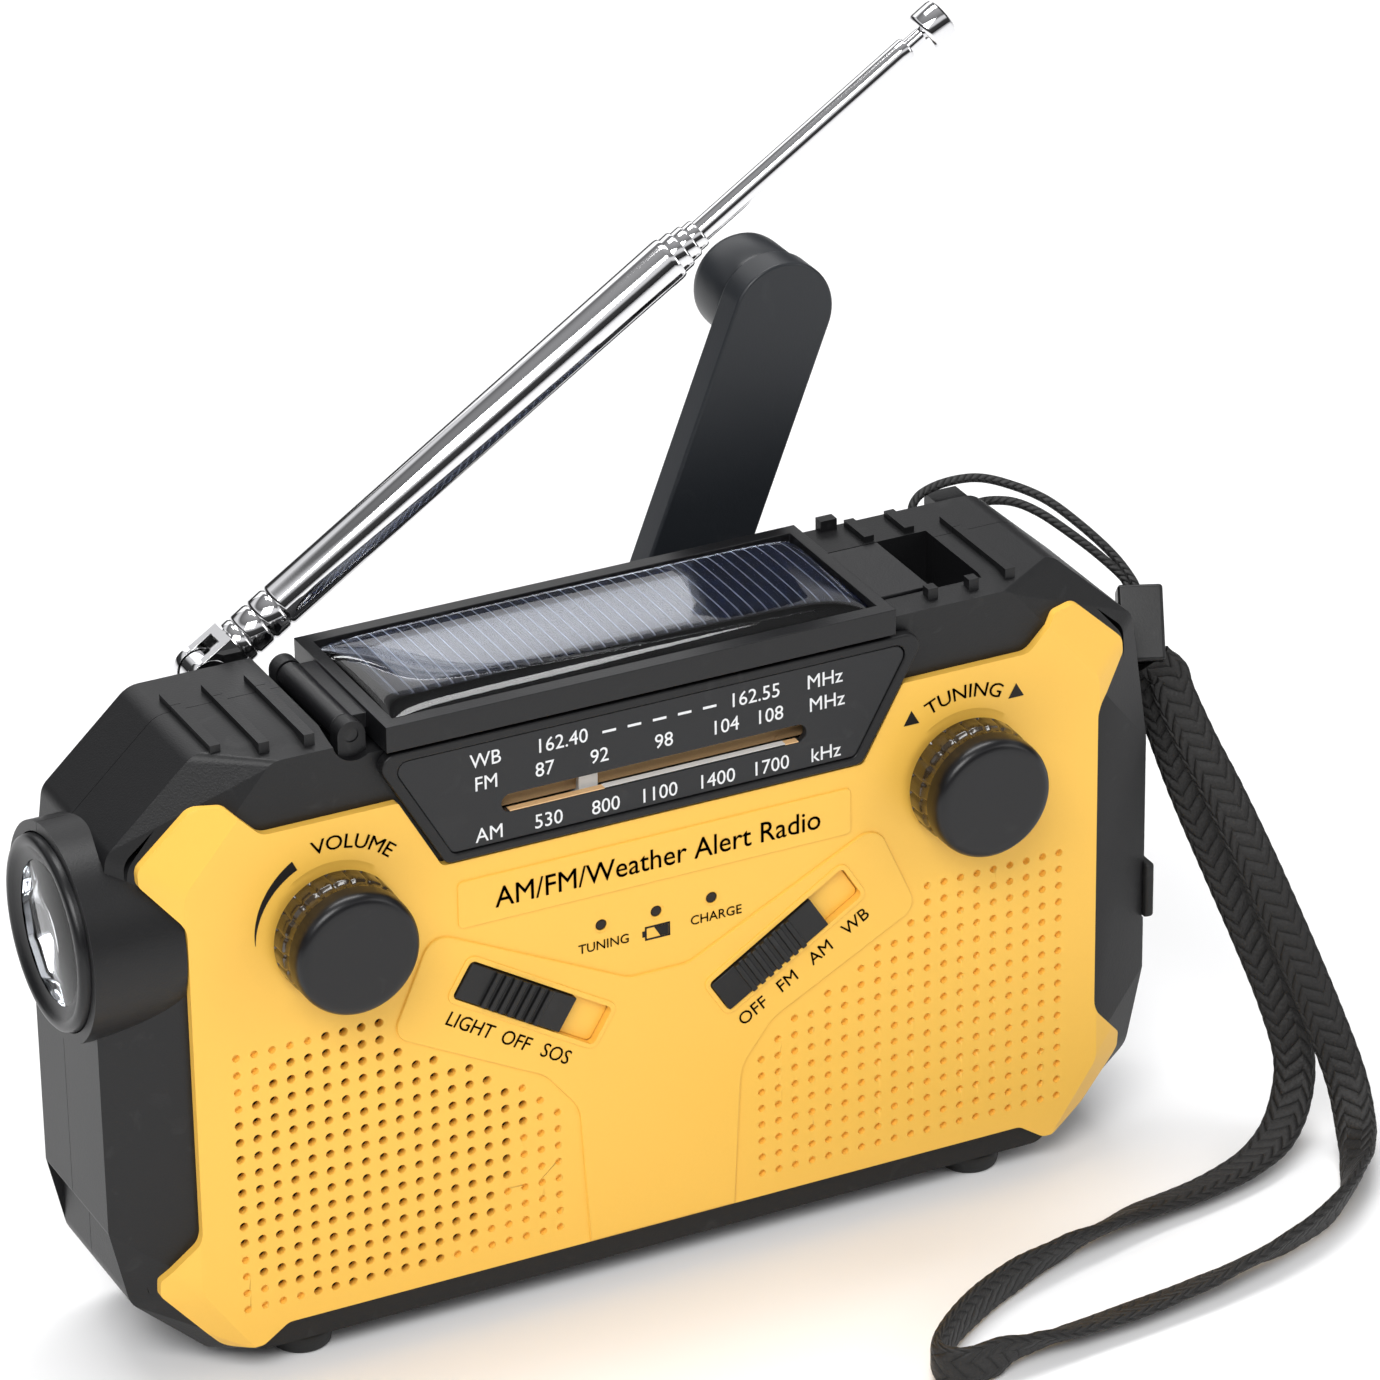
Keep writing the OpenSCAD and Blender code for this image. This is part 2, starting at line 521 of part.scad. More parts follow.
module feet() color("#1a1a1b") for (x = [-52, 52], y = [-9, 10]) {
    translate([x, y, 0]) cylinder(r1 = 4.1, r2 = 4.6, h = base_z, $fn = 32);
}

// ---- lanyard ----
// [x, y, z] of the middle line, then the direction of the ribbon's width
strap_route = [[86.08, -4.57, 67.88, 9, -4, 0], [86.6, -5.6, 65, 9, -4, 0], [88.6, -9, 58, 9, -4, 0],
    [91, -12.6, 51, 9, -4, 0], [94, -17.6, 41, 9, -4, 0], [97.4, -21.6, 30, 9, -4, 0], [100.6, -25.4, 19, 9, -4, 0],
    [102.4, -29, 10.5, 9, -5, 0], [101.4, -33.6, 5.6, 8, -5, 3], [98.6, -39, 4, 6, -5, 6], [94, -45, 3.8, 3, -4, 9],
    [87.6, -50.2, 3.6, 1, -3, 9], [79.6, -53.6, 3.2, 1, -5, 9], [71, -55.6, 2.8, 1, -8, 7], [62, -57.2, 2.4, 1, -8, 4],
    [51, -58.6, 2.2, 1, -8, 3], [41, -59.6, 2.4, 1, -8, 4], [33, -60.8, 3, 1, -6, 8], [27, -62.2, 3.4, 0, 0, 1],
    [23, -62.4, 3.4, 0, 0, 1], [20.6, -60.6, 3.4, 0, 0, 1], [20.8, -58, 3.4, 0, 0, 1], [24.6, -54, 3.4, 0, 0, 1],
    [30.6, -49.6, 3.4, 0, 0, 1], [38.6, -45.2, 3.3, 0, -1, 9], [48.6, -41.2, 3, 0, -4, 8], [57.6, -38.2, 2.6, 0, -8, 6],
    [66, -36, 2.2, 1, -9, 3], [75, -34.6, 2, 2, -9, 2], [84, -32.4, 2.4, 3, -9, 1], [90.6, -29.4, 3.6, 6, -8, 0],
    [95.4, -25.6, 6.6, 8, -6, 0], [97.6, -22.6, 12, 9, -5, 0], [96.6, -19.4, 20, 9, -4, 0], [94.4, -15.6, 29, 9, -4, 0],
    [91.6, -11.4, 39, 9, -4, 0], [88.4, -7, 50.4, 9, -4, 0], [86, -3.4, 60.6, 9, -4, 0], [84.9, -2, 64.4, 9, -4, 0],
    [84.55, -1.75, 67.2, 9, -4, 0]];
string_route = [[66, 18.2, 88.6], [69, 17.8, 89.2], [72, 15.4, 89.4], [74.6, 12.4, 88.4], [77.6, 9.4, 86],
    [81, 6.8, 82.8], [83.8, 4.2, 79.5], [83.7, 2.85, 78], [84.4, 2.1, 77.5], [84.8, 3.1, 79], [83.2, 6.4, 82.4],
    [79.6, 9.8, 86.6], [76, 13.4, 89.8], [72, 16.8, 91.6], [68, 18.9, 92.6], [63, 19.2, 92.8], [59, 19, 91.9],
    [57.4, 18.4, 90.2], [58.4, 18.2, 88.9], [60, 18.2, 88.6]];
function spot(r) = [r[0], r[1], r[2]];
function course(rows, i) = let (n = len(rows)) unit(spot(rows[min(i + 1, n - 1)]) - spot(rows[max(i - 1, 0)]));
function ring(c, t, wide, a, b, k) = let (w = unit(wide - (wide * t) * t), h = cross(t, w))
    [for (i = [0:k - 1]) let (q = 360 * i / k) c + a * cos(q) * w + b * sin(q) * h];
module swept(rings) let (n = len(rings), k = len(rings[0])) polyhedron(
    points = [for (r = rings) each r],
    faces = concat([[for (i = [k - 1:-1:0]) i]], [[for (i = [0:k - 1]) (n - 1) * k + i]],
        [for (r = [0:n - 2], i = [0:k - 1]) each [[r * k + i, r * k + (i + 1) % k, (r + 1) * k + i],
            [r * k + (i + 1) % k, (r + 1) * k + (i + 1) % k, (r + 1) * k + i]]]));
module wrist_strap() color("#1f1e1d") swept([for (i = [0:len(strap_route) - 1]) let (r = strap_route[i])
    ring(spot(r), course(strap_route, i), [r[3], r[4], r[5]], 3.1, 1, 8)]);
module lanyard_string() color("#1c1c1c") swept([for (i = [0:len(string_route) - 1]) let (t = course(string_route, i))
    ring(string_route[i], t, cross(t, abs(t.z) > 0.8 ? [0, 1, 0] : [0, 0, 1]), 0.65, 0.65, 8)]);
module strap_sleeve() color("#232427") translate([83.3, 2.6, 78.2]) rotate([0, 0, -24]) rotate([-37, 0, 0])
    difference() {
        block([-1.5, -2.7, -10.4], [4.9, 2.4, 0.6]);
        block([-0.5, -1.3, -11], [3.7, 1.1, 2]);
    }

front_shell();
rear_shell();
front_panel();
dial_bezel();
dial_plate();
dial_backplate();
pointer_rack();
tuning_gear();
idler_gear_lower();
idler_gear_upper();
gear_pins();
tuning_knob();
tuning_shaft();
tuning_capacitor();
volume_knob();
volume_shaft();
volume_pot();
light_switch_slider();
band_switch_slider();
slide_switch_bodies();
indicator_leds();
solar_lid();
solar_cell();
solar_cover();
lid_hinge_pin();
reading_lamp();
flashlight_bezel();
flashlight_lens();
flashlight_reflector();
flashlight_led();
antenna_swivel();
antenna_knuckle();
antenna_pin();
antenna_tube();
antenna_section_2();
antenna_section_3();
antenna_section_4();
antenna_section_5();
antenna_tip();
crank_hub();
crank_arm();
crank_hinge_pin();
crank_grip();
grip_pin();
crank_gear();
compound_gear();
dynamo();
dynamo_pinion();
battery_pack();
battery_door();
main_board();
speaker();
ferrite_antenna();
port_jacks();
port_cover();
case_screws();
lanyard_string();
strap_sleeve();
wrist_strap();
feet();
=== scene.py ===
"""Hand-crank emergency radio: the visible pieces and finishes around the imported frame. Metres, +Z up, front towards -Y."""

import json
import math

import bmesh
import bpy
from mathutils import Matrix, Quaternion, Vector, noise


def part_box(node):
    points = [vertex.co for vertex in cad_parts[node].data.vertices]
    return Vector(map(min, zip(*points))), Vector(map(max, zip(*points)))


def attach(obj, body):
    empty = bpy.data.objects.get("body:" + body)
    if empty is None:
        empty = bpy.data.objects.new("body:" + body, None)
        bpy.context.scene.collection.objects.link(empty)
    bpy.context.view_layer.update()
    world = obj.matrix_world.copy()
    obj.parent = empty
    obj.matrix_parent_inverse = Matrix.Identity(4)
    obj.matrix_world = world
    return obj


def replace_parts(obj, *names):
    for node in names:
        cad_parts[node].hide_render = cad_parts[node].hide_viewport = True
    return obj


bl_info = {
    "name": "Emergency radio",
    "version": (1, 0, 0),
    "blender": (4, 5, 0),
    "location": "View3D > Sidebar > Radio",
    "description": "Builds a hand-crank emergency radio around its packed frame",
    "category": "Add Mesh",
}

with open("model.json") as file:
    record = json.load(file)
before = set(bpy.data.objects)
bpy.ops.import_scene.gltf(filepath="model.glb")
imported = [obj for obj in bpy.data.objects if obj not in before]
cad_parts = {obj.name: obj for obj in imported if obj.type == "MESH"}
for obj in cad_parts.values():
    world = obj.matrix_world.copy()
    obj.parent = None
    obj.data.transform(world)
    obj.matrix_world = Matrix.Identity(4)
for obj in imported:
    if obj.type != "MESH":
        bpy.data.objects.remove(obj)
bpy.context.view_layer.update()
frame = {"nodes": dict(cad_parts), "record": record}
NODES = frame["nodes"]

# Places from the design, in millimetres
PANEL_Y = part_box("front_panel")[0].y * 1000
KNOB_X, KNOB_Z = 47.5, 66.2
SWITCH_X, SWITCH_Z = 19.2, 48.0
SWITCH_TILT = {-1: 31.5, 1: -32.0}
HOLE_PITCH = 2.6
HOLE_LOW = (62.4, 11.44)
HOLES_IN_ROW = [19] * 8 + [18, 17, 15, 13, 12, 10, 9, 9]
LAMP_YZ = (-0.7, 67.1)
ANTENNA_FOOT = (-51.3, 17.2, 90.4)
ANTENNA_LEAN = 33.2
HUB_XZ = (12.0, 53.6)
ARM_LEAN = 21.6
ARM_LENGTH = 74.0
SECTION_RADII = {2: 2.9, 3: 2.52, 4: 2.12, 5: 1.65}


def metres(*v):
    """A point in millimetres as a vector in metres."""
    return Vector(v) * 0.001


# ---- mesh helpers ----
def link(name, mesh, body, slot, *materials):
    """Puts a finished mesh in the scene as a piece that rides on a body."""
    obj = bpy.data.objects.new(name, mesh)
    bpy.context.scene.collection.objects.link(obj)
    mesh.materials.clear()
    for m in materials:
        mesh.materials.append(m)
    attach(obj, body)
    return obj


def smooth(mesh, angle=35):
    """Smooth shading with edges sharper than the angle kept crisp."""
    mesh.shade_smooth()
    mesh.set_sharp_from_angle(angle=math.radians(angle))


def evened(mesh, angle=35):
    """The mesh smoothed so that its large flat faces stay flat up to their edges."""
    smooth(mesh, angle)
    obj = scratch(mesh)
    m = obj.modifiers.new("even", "WEIGHTED_NORMAL")
    m.keep_sharp = True
    m.weight = 60
    out = plain_mesh(obj)
    bpy.data.objects.remove(obj)
    return out


def plain_mesh(obj):
    """The object's evaluated mesh as a mesh of its own, with its modifiers done."""
    bpy.context.view_layer.update()
    depsgraph = bpy.context.evaluated_depsgraph_get()
    mesh = bpy.data.meshes.new_from_object(obj.evaluated_get(depsgraph), depsgraph=depsgraph)
    return mesh


def scratch(mesh):
    """An object that only lasts while a mesh is being made."""
    obj = bpy.data.objects.new("scratch", mesh)
    bpy.context.scene.collection.objects.link(obj)
    return obj


def from_bmesh(bm, name="part"):
    """A mesh datablock from a bmesh, which is freed."""
    mesh = bpy.data.meshes.new(name)
    bm.to_mesh(mesh)
    bm.free()
    return mesh


def cad_mesh(node, planar=True):
    """A copy of a CAD node's mesh with its doubles merged and its flat faces joined."""
    bm = bmesh.new()
    bm.from_mesh(NODES[node].data)
    bmesh.ops.remove_doubles(bm, verts=bm.verts, dist=2e-6)
    if planar:
        bmesh.ops.dissolve_limit(bm, angle_limit=math.radians(0.4), verts=bm.verts, edges=bm.edges)
    return from_bmesh(bm, node)


def bevelled(mesh, width, segments=2, angle=30):
    """The mesh with its edges rounded by a width in millimetres."""
    obj = scratch(mesh)
    m = obj.modifiers.new("edges", "BEVEL")
    m.width = width * 0.001
    m.segments = segments
    m.limit_method = "ANGLE"
    m.angle_limit = math.radians(angle)
    m.use_clamp_overlap = True
    m.harden_normals = False
    out = plain_mesh(obj)
    bpy.data.objects.remove(obj)
    return evened(out)


def cut(target, cutter, operation="DIFFERENCE"):
    """Two closed meshes joined or cut, as one closed mesh."""
    a, b = scratch(target), scratch(cutter)
    m = a.modifiers.new("cut", "BOOLEAN")
    m.operation = operation
    m.object = b
    m.solver = "MANIFOLD"
    out = plain_mesh(a)
    bpy.data.objects.remove(a)
    bpy.data.objects.remove(b)
    if not out.polygons:
        raise RuntimeError("a cut left nothing")
    return out


def joined(*meshes):
    """Several meshes as one mesh."""
    bm = bmesh.new()
    for m in meshes:
        bm.from_mesh(m)
    return from_bmesh(bm)


def rounded(corners, steps=6):
    """Corners [x, z, radius] in millimetres as a smooth outline."""
    out = []
    for i, (x, z, r) in enumerate(corners):
        q = Vector((x, z))
        if not r:
            out.append(q)
            continue
        a = (Vector(corners[i - 1][:2]) - q).normalized()
        b = (Vector(corners[(i + 1) % len(corners)][:2]) - q).normalized()
        half = a.angle(b) / 2
        centre = q + (a + b).normalized() * (r / math.sin(half))
        start = q + a * (r / math.tan(half)) - centre
        turn = -math.copysign(math.pi - 2 * half, a.x * b.y - a.y * b.x)
        for k in range(steps + 1):
            t = turn * k / steps
            out.append(centre + Vector((start.x * math.cos(t) - start.y * math.sin(t), start.x * math.sin(t) + start.y * math.cos(t))))
    return out


def both_sides(right):
    """An outline and its mirror image as one closed outline."""
    return rounded(right + [[-x, z, r] for x, z, r in reversed(right)])


def plate(outline, y0, y1, edge=0.0, segments=2):
    """A plate standing in X and Z, from y0 (front) to y1, its front edge rounded."""
    bm = bmesh.new()
    front = [bm.verts.new(metres(p.x, y0, p.y)) for p in outline]
    face = bm.faces.new(front)
    bmesh.ops.recalc_face_normals(bm, faces=[face])
    if face.normal.y > 0:
        face.normal_flip()
    back = bmesh.ops.extrude_face_region(bm, geom=[face], use_keep_orig=True)
    moved = [v for v in back["geom"] if isinstance(v, bmesh.types.BMVert)]
    bmesh.ops.translate(bm, verts=moved, vec=metres(0, y1 - y0, 0))
    bmesh.ops.recalc_face_normals(bm, faces=bm.faces)
    if edge:
        rim = [e for e in bm.edges if all(abs(v.co.y * 1000 - y0) < 1e-4 for v in e.verts)]
        bmesh.ops.bevel(bm, geom=rim, offset=edge * 0.001, segments=segments, affect="EDGES", profile=0.5)
    return from_bmesh(bm)


def lathe(profile, steps=64, closed=False, ripple=None):
    """A turned shape about the local Z axis. Profile rows are [radius, height] in millimetres; a closed one is a ring."""
    bm = bmesh.new()
    rings = []
    for r, h in profile:
        if r < 1e-6:
            rings.append([bm.verts.new(metres(0, 0, h))])
            continue
        ring = []
        for k in range(steps):
            t = 2 * math.pi * k / steps
            rr = r + (ripple(r, h, t) if ripple else 0)
            ring.append(bm.verts.new(metres(rr * math.cos(t), rr * math.sin(t), h)))
        rings.append(ring)
    pairs = list(zip(rings, rings[1:])) + ([(rings[-1], rings[0])] if closed else [])
    for a, b in pairs:
        for k in range(steps):
            n = (k + 1) % steps
            if len(a) == 1 and len(b) == 1:
                continue
            if len(a) == 1:
                bm.faces.new((a[0], b[k], b[n]))
            elif len(b) == 1:
                bm.faces.new((a[k], a[n], b[0]))
            else:
                bm.faces.new((a[k], a[n], b[n], b[k]))
    if not closed:
        for ring in (rings[0], rings[-1]):
            if len(ring) > 1:
                bm.faces.new(ring)
    bmesh.ops.recalc_face_normals(bm, faces=bm.faces)
    mesh = from_bmesh(bm)
    smooth(mesh, 40)
    return mesh


def placed(mesh, matrix):
    """The mesh moved by a matrix."""
    mesh.transform(matrix)
    return mesh


TOWARDS_FRONT = Matrix.Rotation(math.radians(90), 4, "X")  # local Z to -Y
TOWARDS_BACK = Matrix.Rotation(math.radians(-90), 4, "X")  # local Z to +Y
TOWARDS_RIGHT = Matrix.Rotation(math.radians(90), 4, "Y")  # local Z to +X


def at(x, y, z):
    """A move to a point given in millimetres."""
    return Matrix.Translation(metres(x, y, z))


def antenna_axis():
    """The matrix that stands the antenna's own axis in the radio."""
    return at(*ANTENNA_FOOT) @ Matrix.Rotation(math.radians(-ANTENNA_LEAN), 4, "Y") @ TOWARDS_RIGHT


def smooth_path(points, spacing):
    """Catmull-Rom samples of [x, y, z, ...] rows, about a spacing in millimetres apart."""
    rows = [Vector(p) for p in points]
    first = rows[0] * 2 - rows[1]
    last = rows[-1] * 2 - rows[-2]
    rows = [first] + rows + [last]
    out = []
    for i in range(1, len(rows) - 2):
        a, b, c, d = rows[i - 1 : i + 3]
        n = max(2, round((c.to_3d() - b.to_3d()).length / spacing))
        for k in range(n):
            t = k / n
            out.append(
                0.5 * ((2 * b) + (c - a) * t + (2 * a - 5 * b + 4 * c - d) * t * t + (3 * b - a - 3 * c + d) * t * t * t)
            )
    out.append(rows[-2].copy())
    return out


def swept(path, section, wide=None):
    """A closed tube along a path of points. section(i, k) gives [across, up, u] in millimetres; wide(i) is the across direction."""
    bm = bmesh.new()
    uv = bm.loops.layers.uv.new("UVMap")
    rings, along, runs = [], 0.0, []
    across = Vector((0, 0, 1))
    for i, p in enumerate(path):
        t = (path[min(i + 1, len(path) - 1)] - path[max(i - 1, 0)]).normalized()
        w = wide(i) if wide else across
        w = (w - t * w.dot(t)).normalized()
        across = w
        h = t.cross(w)
        if i:
            along += (p - path[i - 1]).length
        runs.append(along)
        rings.append([bm.verts.new((p + w * a + h * b) * 0.001) for a, b, _ in section(along)])
    n = len(rings[0])
    shares = [u for _, _, u in section(0)] + [1.0]
    for i in range(len(rings) - 1):
        for k in range(n):
            f = bm.faces.new((rings[i][k], rings[i][(k + 1) % n], rings[i + 1][(k + 1) % n], rings[i + 1][k]))
            spots = ((shares[k], runs[i]), (shares[k + 1], runs[i]), (shares[k + 1], runs[i + 1]), (shares[k], runs[i + 1]))
            for loop, (u, v) in zip(f.loops, spots):
                loop[uv].uv = (u, v * 0.001)
    bm.faces.new(rings[0])
    bm.faces.new(rings[-1])
    bmesh.ops.recalc_face_normals(bm, faces=bm.faces)
    mesh = from_bmesh(bm)
    smooth(mesh, 60)
    return mesh


# ---- geometry nodes: one shape repeated on points ----
def repeat_tree(name, kind):
    """A tree that stands one small shape on every point: a tapered pit or a bar."""
    tree = bpy.data.node_groups.new(name, "GeometryNodeTree")
    face = tree.interface
    face.new_socket("Geometry", in_out="INPUT", socket_type="NodeSocketGeometry")
    sizes = {"pit": ("Mouth", "Bottom", "Depth"), "bar": ("Length", "Width", "Height")}[kind]
    for s in sizes:
        face.new_socket(s, in_out="INPUT", socket_type="NodeSocketFloat")
    face.new_socket("Material", in_out="INPUT", socket_type="NodeSocketMaterial")
    face.new_socket("Geometry", in_out="OUTPUT", socket_type="NodeSocketGeometry")
    nodes, wires = tree.nodes, tree.links
    given, out = nodes.new("NodeGroupInput"), nodes.new("NodeGroupOutput")
    place = nodes.new("GeometryNodeInstanceOnPoints")
    real = nodes.new("GeometryNodeRealizeInstances")
    paint = nodes.new("GeometryNodeSetMaterial")
    if kind == "pit":
        shape = nodes.new("GeometryNodeMeshCone")
        shape.inputs["Vertices"].default_value = 12
        wires.new(given.outputs["Mouth"], shape.inputs["Radius Top"])
        wires.new(given.outputs["Bottom"], shape.inputs["Radius Bottom"])
        wires.new(given.outputs["Depth"], shape.inputs["Depth"])
        turn = (math.radians(90), 0, 0)
    else:
        shape = nodes.new("GeometryNodeMeshCube")
        join = nodes.new("ShaderNodeCombineXYZ")
        wires.new(given.outputs["Width"], join.inputs["X"])
        wires.new(given.outputs["Length"], join.inputs["Y"])
        wires.new(given.outputs["Height"], join.inputs["Z"])
        wires.new(join.outputs[0], shape.inputs["Size"])
        turn = (0, 0, 0)
    rotation = nodes.new("FunctionNodeEulerToRotation")
    rotation.inputs[0].default_value = turn
    wires.new(rotation.outputs[0], place.inputs["Rotation"])
    wires.new(given.outputs["Geometry"], place.inputs["Points"])
    wires.new(shape.outputs[0], place.inputs["Instance"])
    wires.new(place.outputs[0], real.inputs[0])
    wires.new(real.outputs[0], paint.inputs["Geometry"])
    wires.new(given.outputs["Material"], paint.inputs["Material"])
    wires.new(paint.outputs[0], out.inputs[0])
    return tree


def repeated(points, kind, sizes, material=None):
    """The plain mesh of one shape repeated on points, by a tree of geometry nodes. Sizes in millimetres."""
    mesh = bpy.data.meshes.new("points")
    mesh.from_pydata([metres(*p) for p in points], [], [])
    obj = scratch(mesh)
    tree = repeat_tree("repeat_" + kind, kind)
    m = obj.modifiers.new("repeat", "NODES")
    m.node_group = tree
    for item in tree.interface.items_tree:
        if item.in_out == "INPUT" and item.name in sizes:
            m[item.identifier] = sizes[item.name] * 0.001
        if item.in_out == "INPUT" and item.name == "Material" and material:
            m[item.identifier] = material
    out = plain_mesh(obj)
    bpy.data.objects.remove(obj)
    return out


# ---- finishes ----
def shader_group(name, inputs, outputs):
    tree = bpy.data.node_groups.new(name, "ShaderNodeTree")
    for label, kind, value in inputs:
        s = tree.interface.new_socket(label, in_out="INPUT", socket_type=kind)
        s.default_value = value
    for label, kind in outputs:
        tree.interface.new_socket(label, in_out="OUTPUT", socket_type=kind)
    return tree, tree.nodes.new("NodeGroupInput"), tree.nodes.new("NodeGroupOutput")


def mathed(tree, operation, a, b=None):
    n = tree.nodes.new("ShaderNodeMath")
    n.operation = operation
    for i, v in enumerate((a, b)):
        if v is None:
            continue
        if isinstance(v, (int, float)):
            n.inputs[i].default_value = v
        else:
            tree.links.new(v, n.inputs[i])
    return n.outputs[0]


def moulded_group():
    """Fine spark-eroded grain of moulded plastic, with slow drift of tone and gloss and a few light scuffs."""
    if "moulded_grain" in bpy.data.node_groups:
        return bpy.data.node_groups["moulded_grain"]
    F, C = "NodeSocketFloat", "NodeSocketColor"
    tree, given, out = shader_group(
        "moulded_grain",
        [("Color", C, (0.5, 0.5, 0.5, 1)), ("Tone Drift", F, 0.06), ("Grain Size", F, 0.4), ("Grain Depth", F, 0.2),
         ("Roughness", F, 0.4), ("Gloss Drift", F, 0.06), ("Scuffs", F, 0.1)],
        [("Color", C), ("Roughness", F), ("Normal", "NodeSocketVector")],
    )
    n, w = tree.nodes, tree.links
    place = n.new("ShaderNodeTexCoord")
    drift = n.new("ShaderNodeTexNoise")
    drift.inputs["Scale"].default_value = 28
    drift.inputs["Detail"].default_value = 3
    w.new(place.outputs["Object"], drift.inputs["Vector"])
    fine = n.new("ShaderNodeTexNoise")
    fine.inputs["Detail"].default_value = 3
    w.new(place.outputs["Object"], fine.inputs["Vector"])
    w.new(mathed(tree, "DIVIDE", 1000.0, given.outputs["Grain Size"]), fine.inputs["Scale"])
    shade = mathed(tree, "ADD", mathed(tree, "MULTIPLY", mathed(tree, "SUBTRACT", drift.outputs[0], 0.5), given.outputs["Tone Drift"]), 1.0)
    speck = mathed(tree, "ADD", mathed(tree, "MULTIPLY", mathed(tree, "SUBTRACT", fine.outputs[0], 0.5), given.outputs["Tone Drift"]), shade)
    tint = n.new("ShaderNodeVectorMath")
    tint.operation = "SCALE"
    w.new(given.outputs["Color"], tint.inputs[0])
    w.new(speck, tint.inputs["Scale"])
    scuff = n.new("ShaderNodeTexNoise")
    scuff.inputs["Scale"].default_value = 160
    scuff.inputs["Detail"].default_value = 5
    scuff.inputs["Distortion"].default_value = 1.4
    w.new(place.outputs["Object"], scuff.inputs["Vector"])
    worn = n.new("ShaderNodeMapRange")
    worn.inputs["From Min"].default_value = 0.62
    worn.inputs["From Max"].default_value = 0.78
    w.new(scuff.outputs[0], worn.inputs[0])
    scuffed = mathed(tree, "MULTIPLY", worn.outputs[0], given.outputs["Scuffs"])
    light = n.new("ShaderNodeMix")
    light.data_type = "RGBA"
    w.new(mathed(tree, "MULTIPLY", scuffed, 0.35), light.inputs["Factor"])
    w.new(tint.outputs[0], light.inputs["A"])
    light.inputs["B"].default_value = (0.6, 0.6, 0.6, 1)
    w.new(light.outputs["Result"], out.inputs["Color"])
    uneven = mathed(tree, "MULTIPLY", mathed(tree, "SUBTRACT", drift.outputs[0], 0.5), given.outputs["Gloss Drift"])
    rough = mathed(tree, "ADD", uneven, given.outputs["Roughness"])
    w.new(mathed(tree, "ADD", rough, mathed(tree, "MULTIPLY", scuffed, 0.3)), out.inputs["Roughness"])
    bump = n.new("ShaderNodeBump")
    bump.inputs["Distance"].default_value = 0.0001
    w.new(given.outputs["Grain Depth"], bump.inputs["Strength"])
    w.new(fine.outputs[0], bump.inputs["Height"])
    w.new(bump.outputs[0], out.inputs["Normal"])
    return tree


def braid_group():
    """Herringbone of braided yarns, from the piece's own map: U runs round the cord and V along it, in metres. The
    colour darkens towards the grooves between the yarns as painted shade.
    """
    if "braid" in bpy.data.node_groups:
        return bpy.data.node_groups["braid"]
    F, C = "NodeSocketFloat", "NodeSocketColor"
    tree, given, out = shader_group(
        "braid",
        [("Color", C, (0.02, 0.02, 0.02, 1)), ("Columns", F, 10), ("Pitch", F, 2.2), ("Slope", F, 1.2), ("Depth", F, 0.6)],
        [("Color", C), ("Roughness", F), ("Normal", "NodeSocketVector")],
    )
    n, w = tree.nodes, tree.links
    uv = n.new("ShaderNodeUVMap")
    uv.uv_map = "UVMap"
    parts = n.new("ShaderNodeSeparateXYZ")
    w.new(uv.outputs[0], parts.inputs[0])
    column = mathed(tree, "MULTIPLY", parts.outputs[0], given.outputs["Columns"])
    fold = mathed(tree, "PINGPONG", column, 1.0)
    run = mathed(tree, "DIVIDE", mathed(tree, "MULTIPLY", parts.outputs[1], 1000.0), given.outputs["Pitch"])
    yarn = mathed(tree, "FRACT", mathed(tree, "ADD", run, mathed(tree, "MULTIPLY", fold, given.outputs["Slope"])))
    crown = mathed(tree, "SINE", mathed(tree, "MULTIPLY", yarn, math.pi))
    place = n.new("ShaderNodeTexCoord")
    fibre = n.new("ShaderNodeTexNoise")
    fibre.inputs["Scale"].default_value = 2600
    fibre.inputs["Detail"].default_value = 2
    w.new(place.outputs["Object"], fibre.inputs["Vector"])
    height = mathed(tree, "ADD", mathed(tree, "POWER", crown, 0.5), mathed(tree, "MULTIPLY", fibre.outputs[0], 0.35))
    # painted shade: the colour falls to a quarter in the grooves between yarns; the fibre noise adds a little random
    # tone
    tone = mathed(tree, "ADD", mathed(tree, "MULTIPLY", height, 0.75), 0.25)
    tint = n.new("ShaderNodeVectorMath")
    tint.operation = "SCALE"
    w.new(given.outputs["Color"], tint.inputs[0])
    w.new(tone, tint.inputs["Scale"])
    w.new(tint.outputs[0], out.inputs["Color"])
    w.new(mathed(tree, "ADD", mathed(tree, "MULTIPLY", fibre.outputs[0], 0.25), 0.5), out.inputs["Roughness"])
    bump = n.new("ShaderNodeBump")
    bump.inputs["Distance"].default_value = 0.0004
    w.new(given.outputs["Depth"], bump.inputs["Strength"])
    w.new(height, bump.inputs["Height"])
    w.new(bump.outputs[0], out.inputs["Normal"])
    return tree


def grouped(name, tree, values):
    """A material whose colour, roughness and normal come from a shared group."""
    mat = bpy.data.materials.new(name)
    mat.use_nodes = True
    n, w = mat.node_tree.nodes, mat.node_tree.links
    shader = n["Principled BSDF"]
    g = n.new("ShaderNodeGroup")
    g.node_tree = tree
    for k, v in values.items():
        g.inputs[k].default_value = v
    w.new(g.outputs["Color"], shader.inputs["Base Color"])
    w.new(g.outputs["Roughness"], shader.inputs["Roughness"])
    w.new(g.outputs["Normal"], shader.inputs["Normal"])
    return mat, shader


def moulded(name, color, roughness, grain=0.4, depth=0.25, drift=0.06, scuffs=0.05, metallic=0.0, specular=0.5, coat=0.0, coat_roughness=0.1):
    mat, shader = grouped(name, moulded_group(), {
        "Color": (*color, 1), "Tone Drift": drift, "Grain Size": grain, "Grain Depth": depth, "Roughness": roughness, "Scuffs": scuffs})
    shader.inputs["Metallic"].default_value = metallic
    shader.inputs["Specular IOR Level"].default_value = specular
    shader.inputs["Coat Weight"].default_value = coat
    shader.inputs["Coat Roughness"].default_value = coat_roughness
    return mat


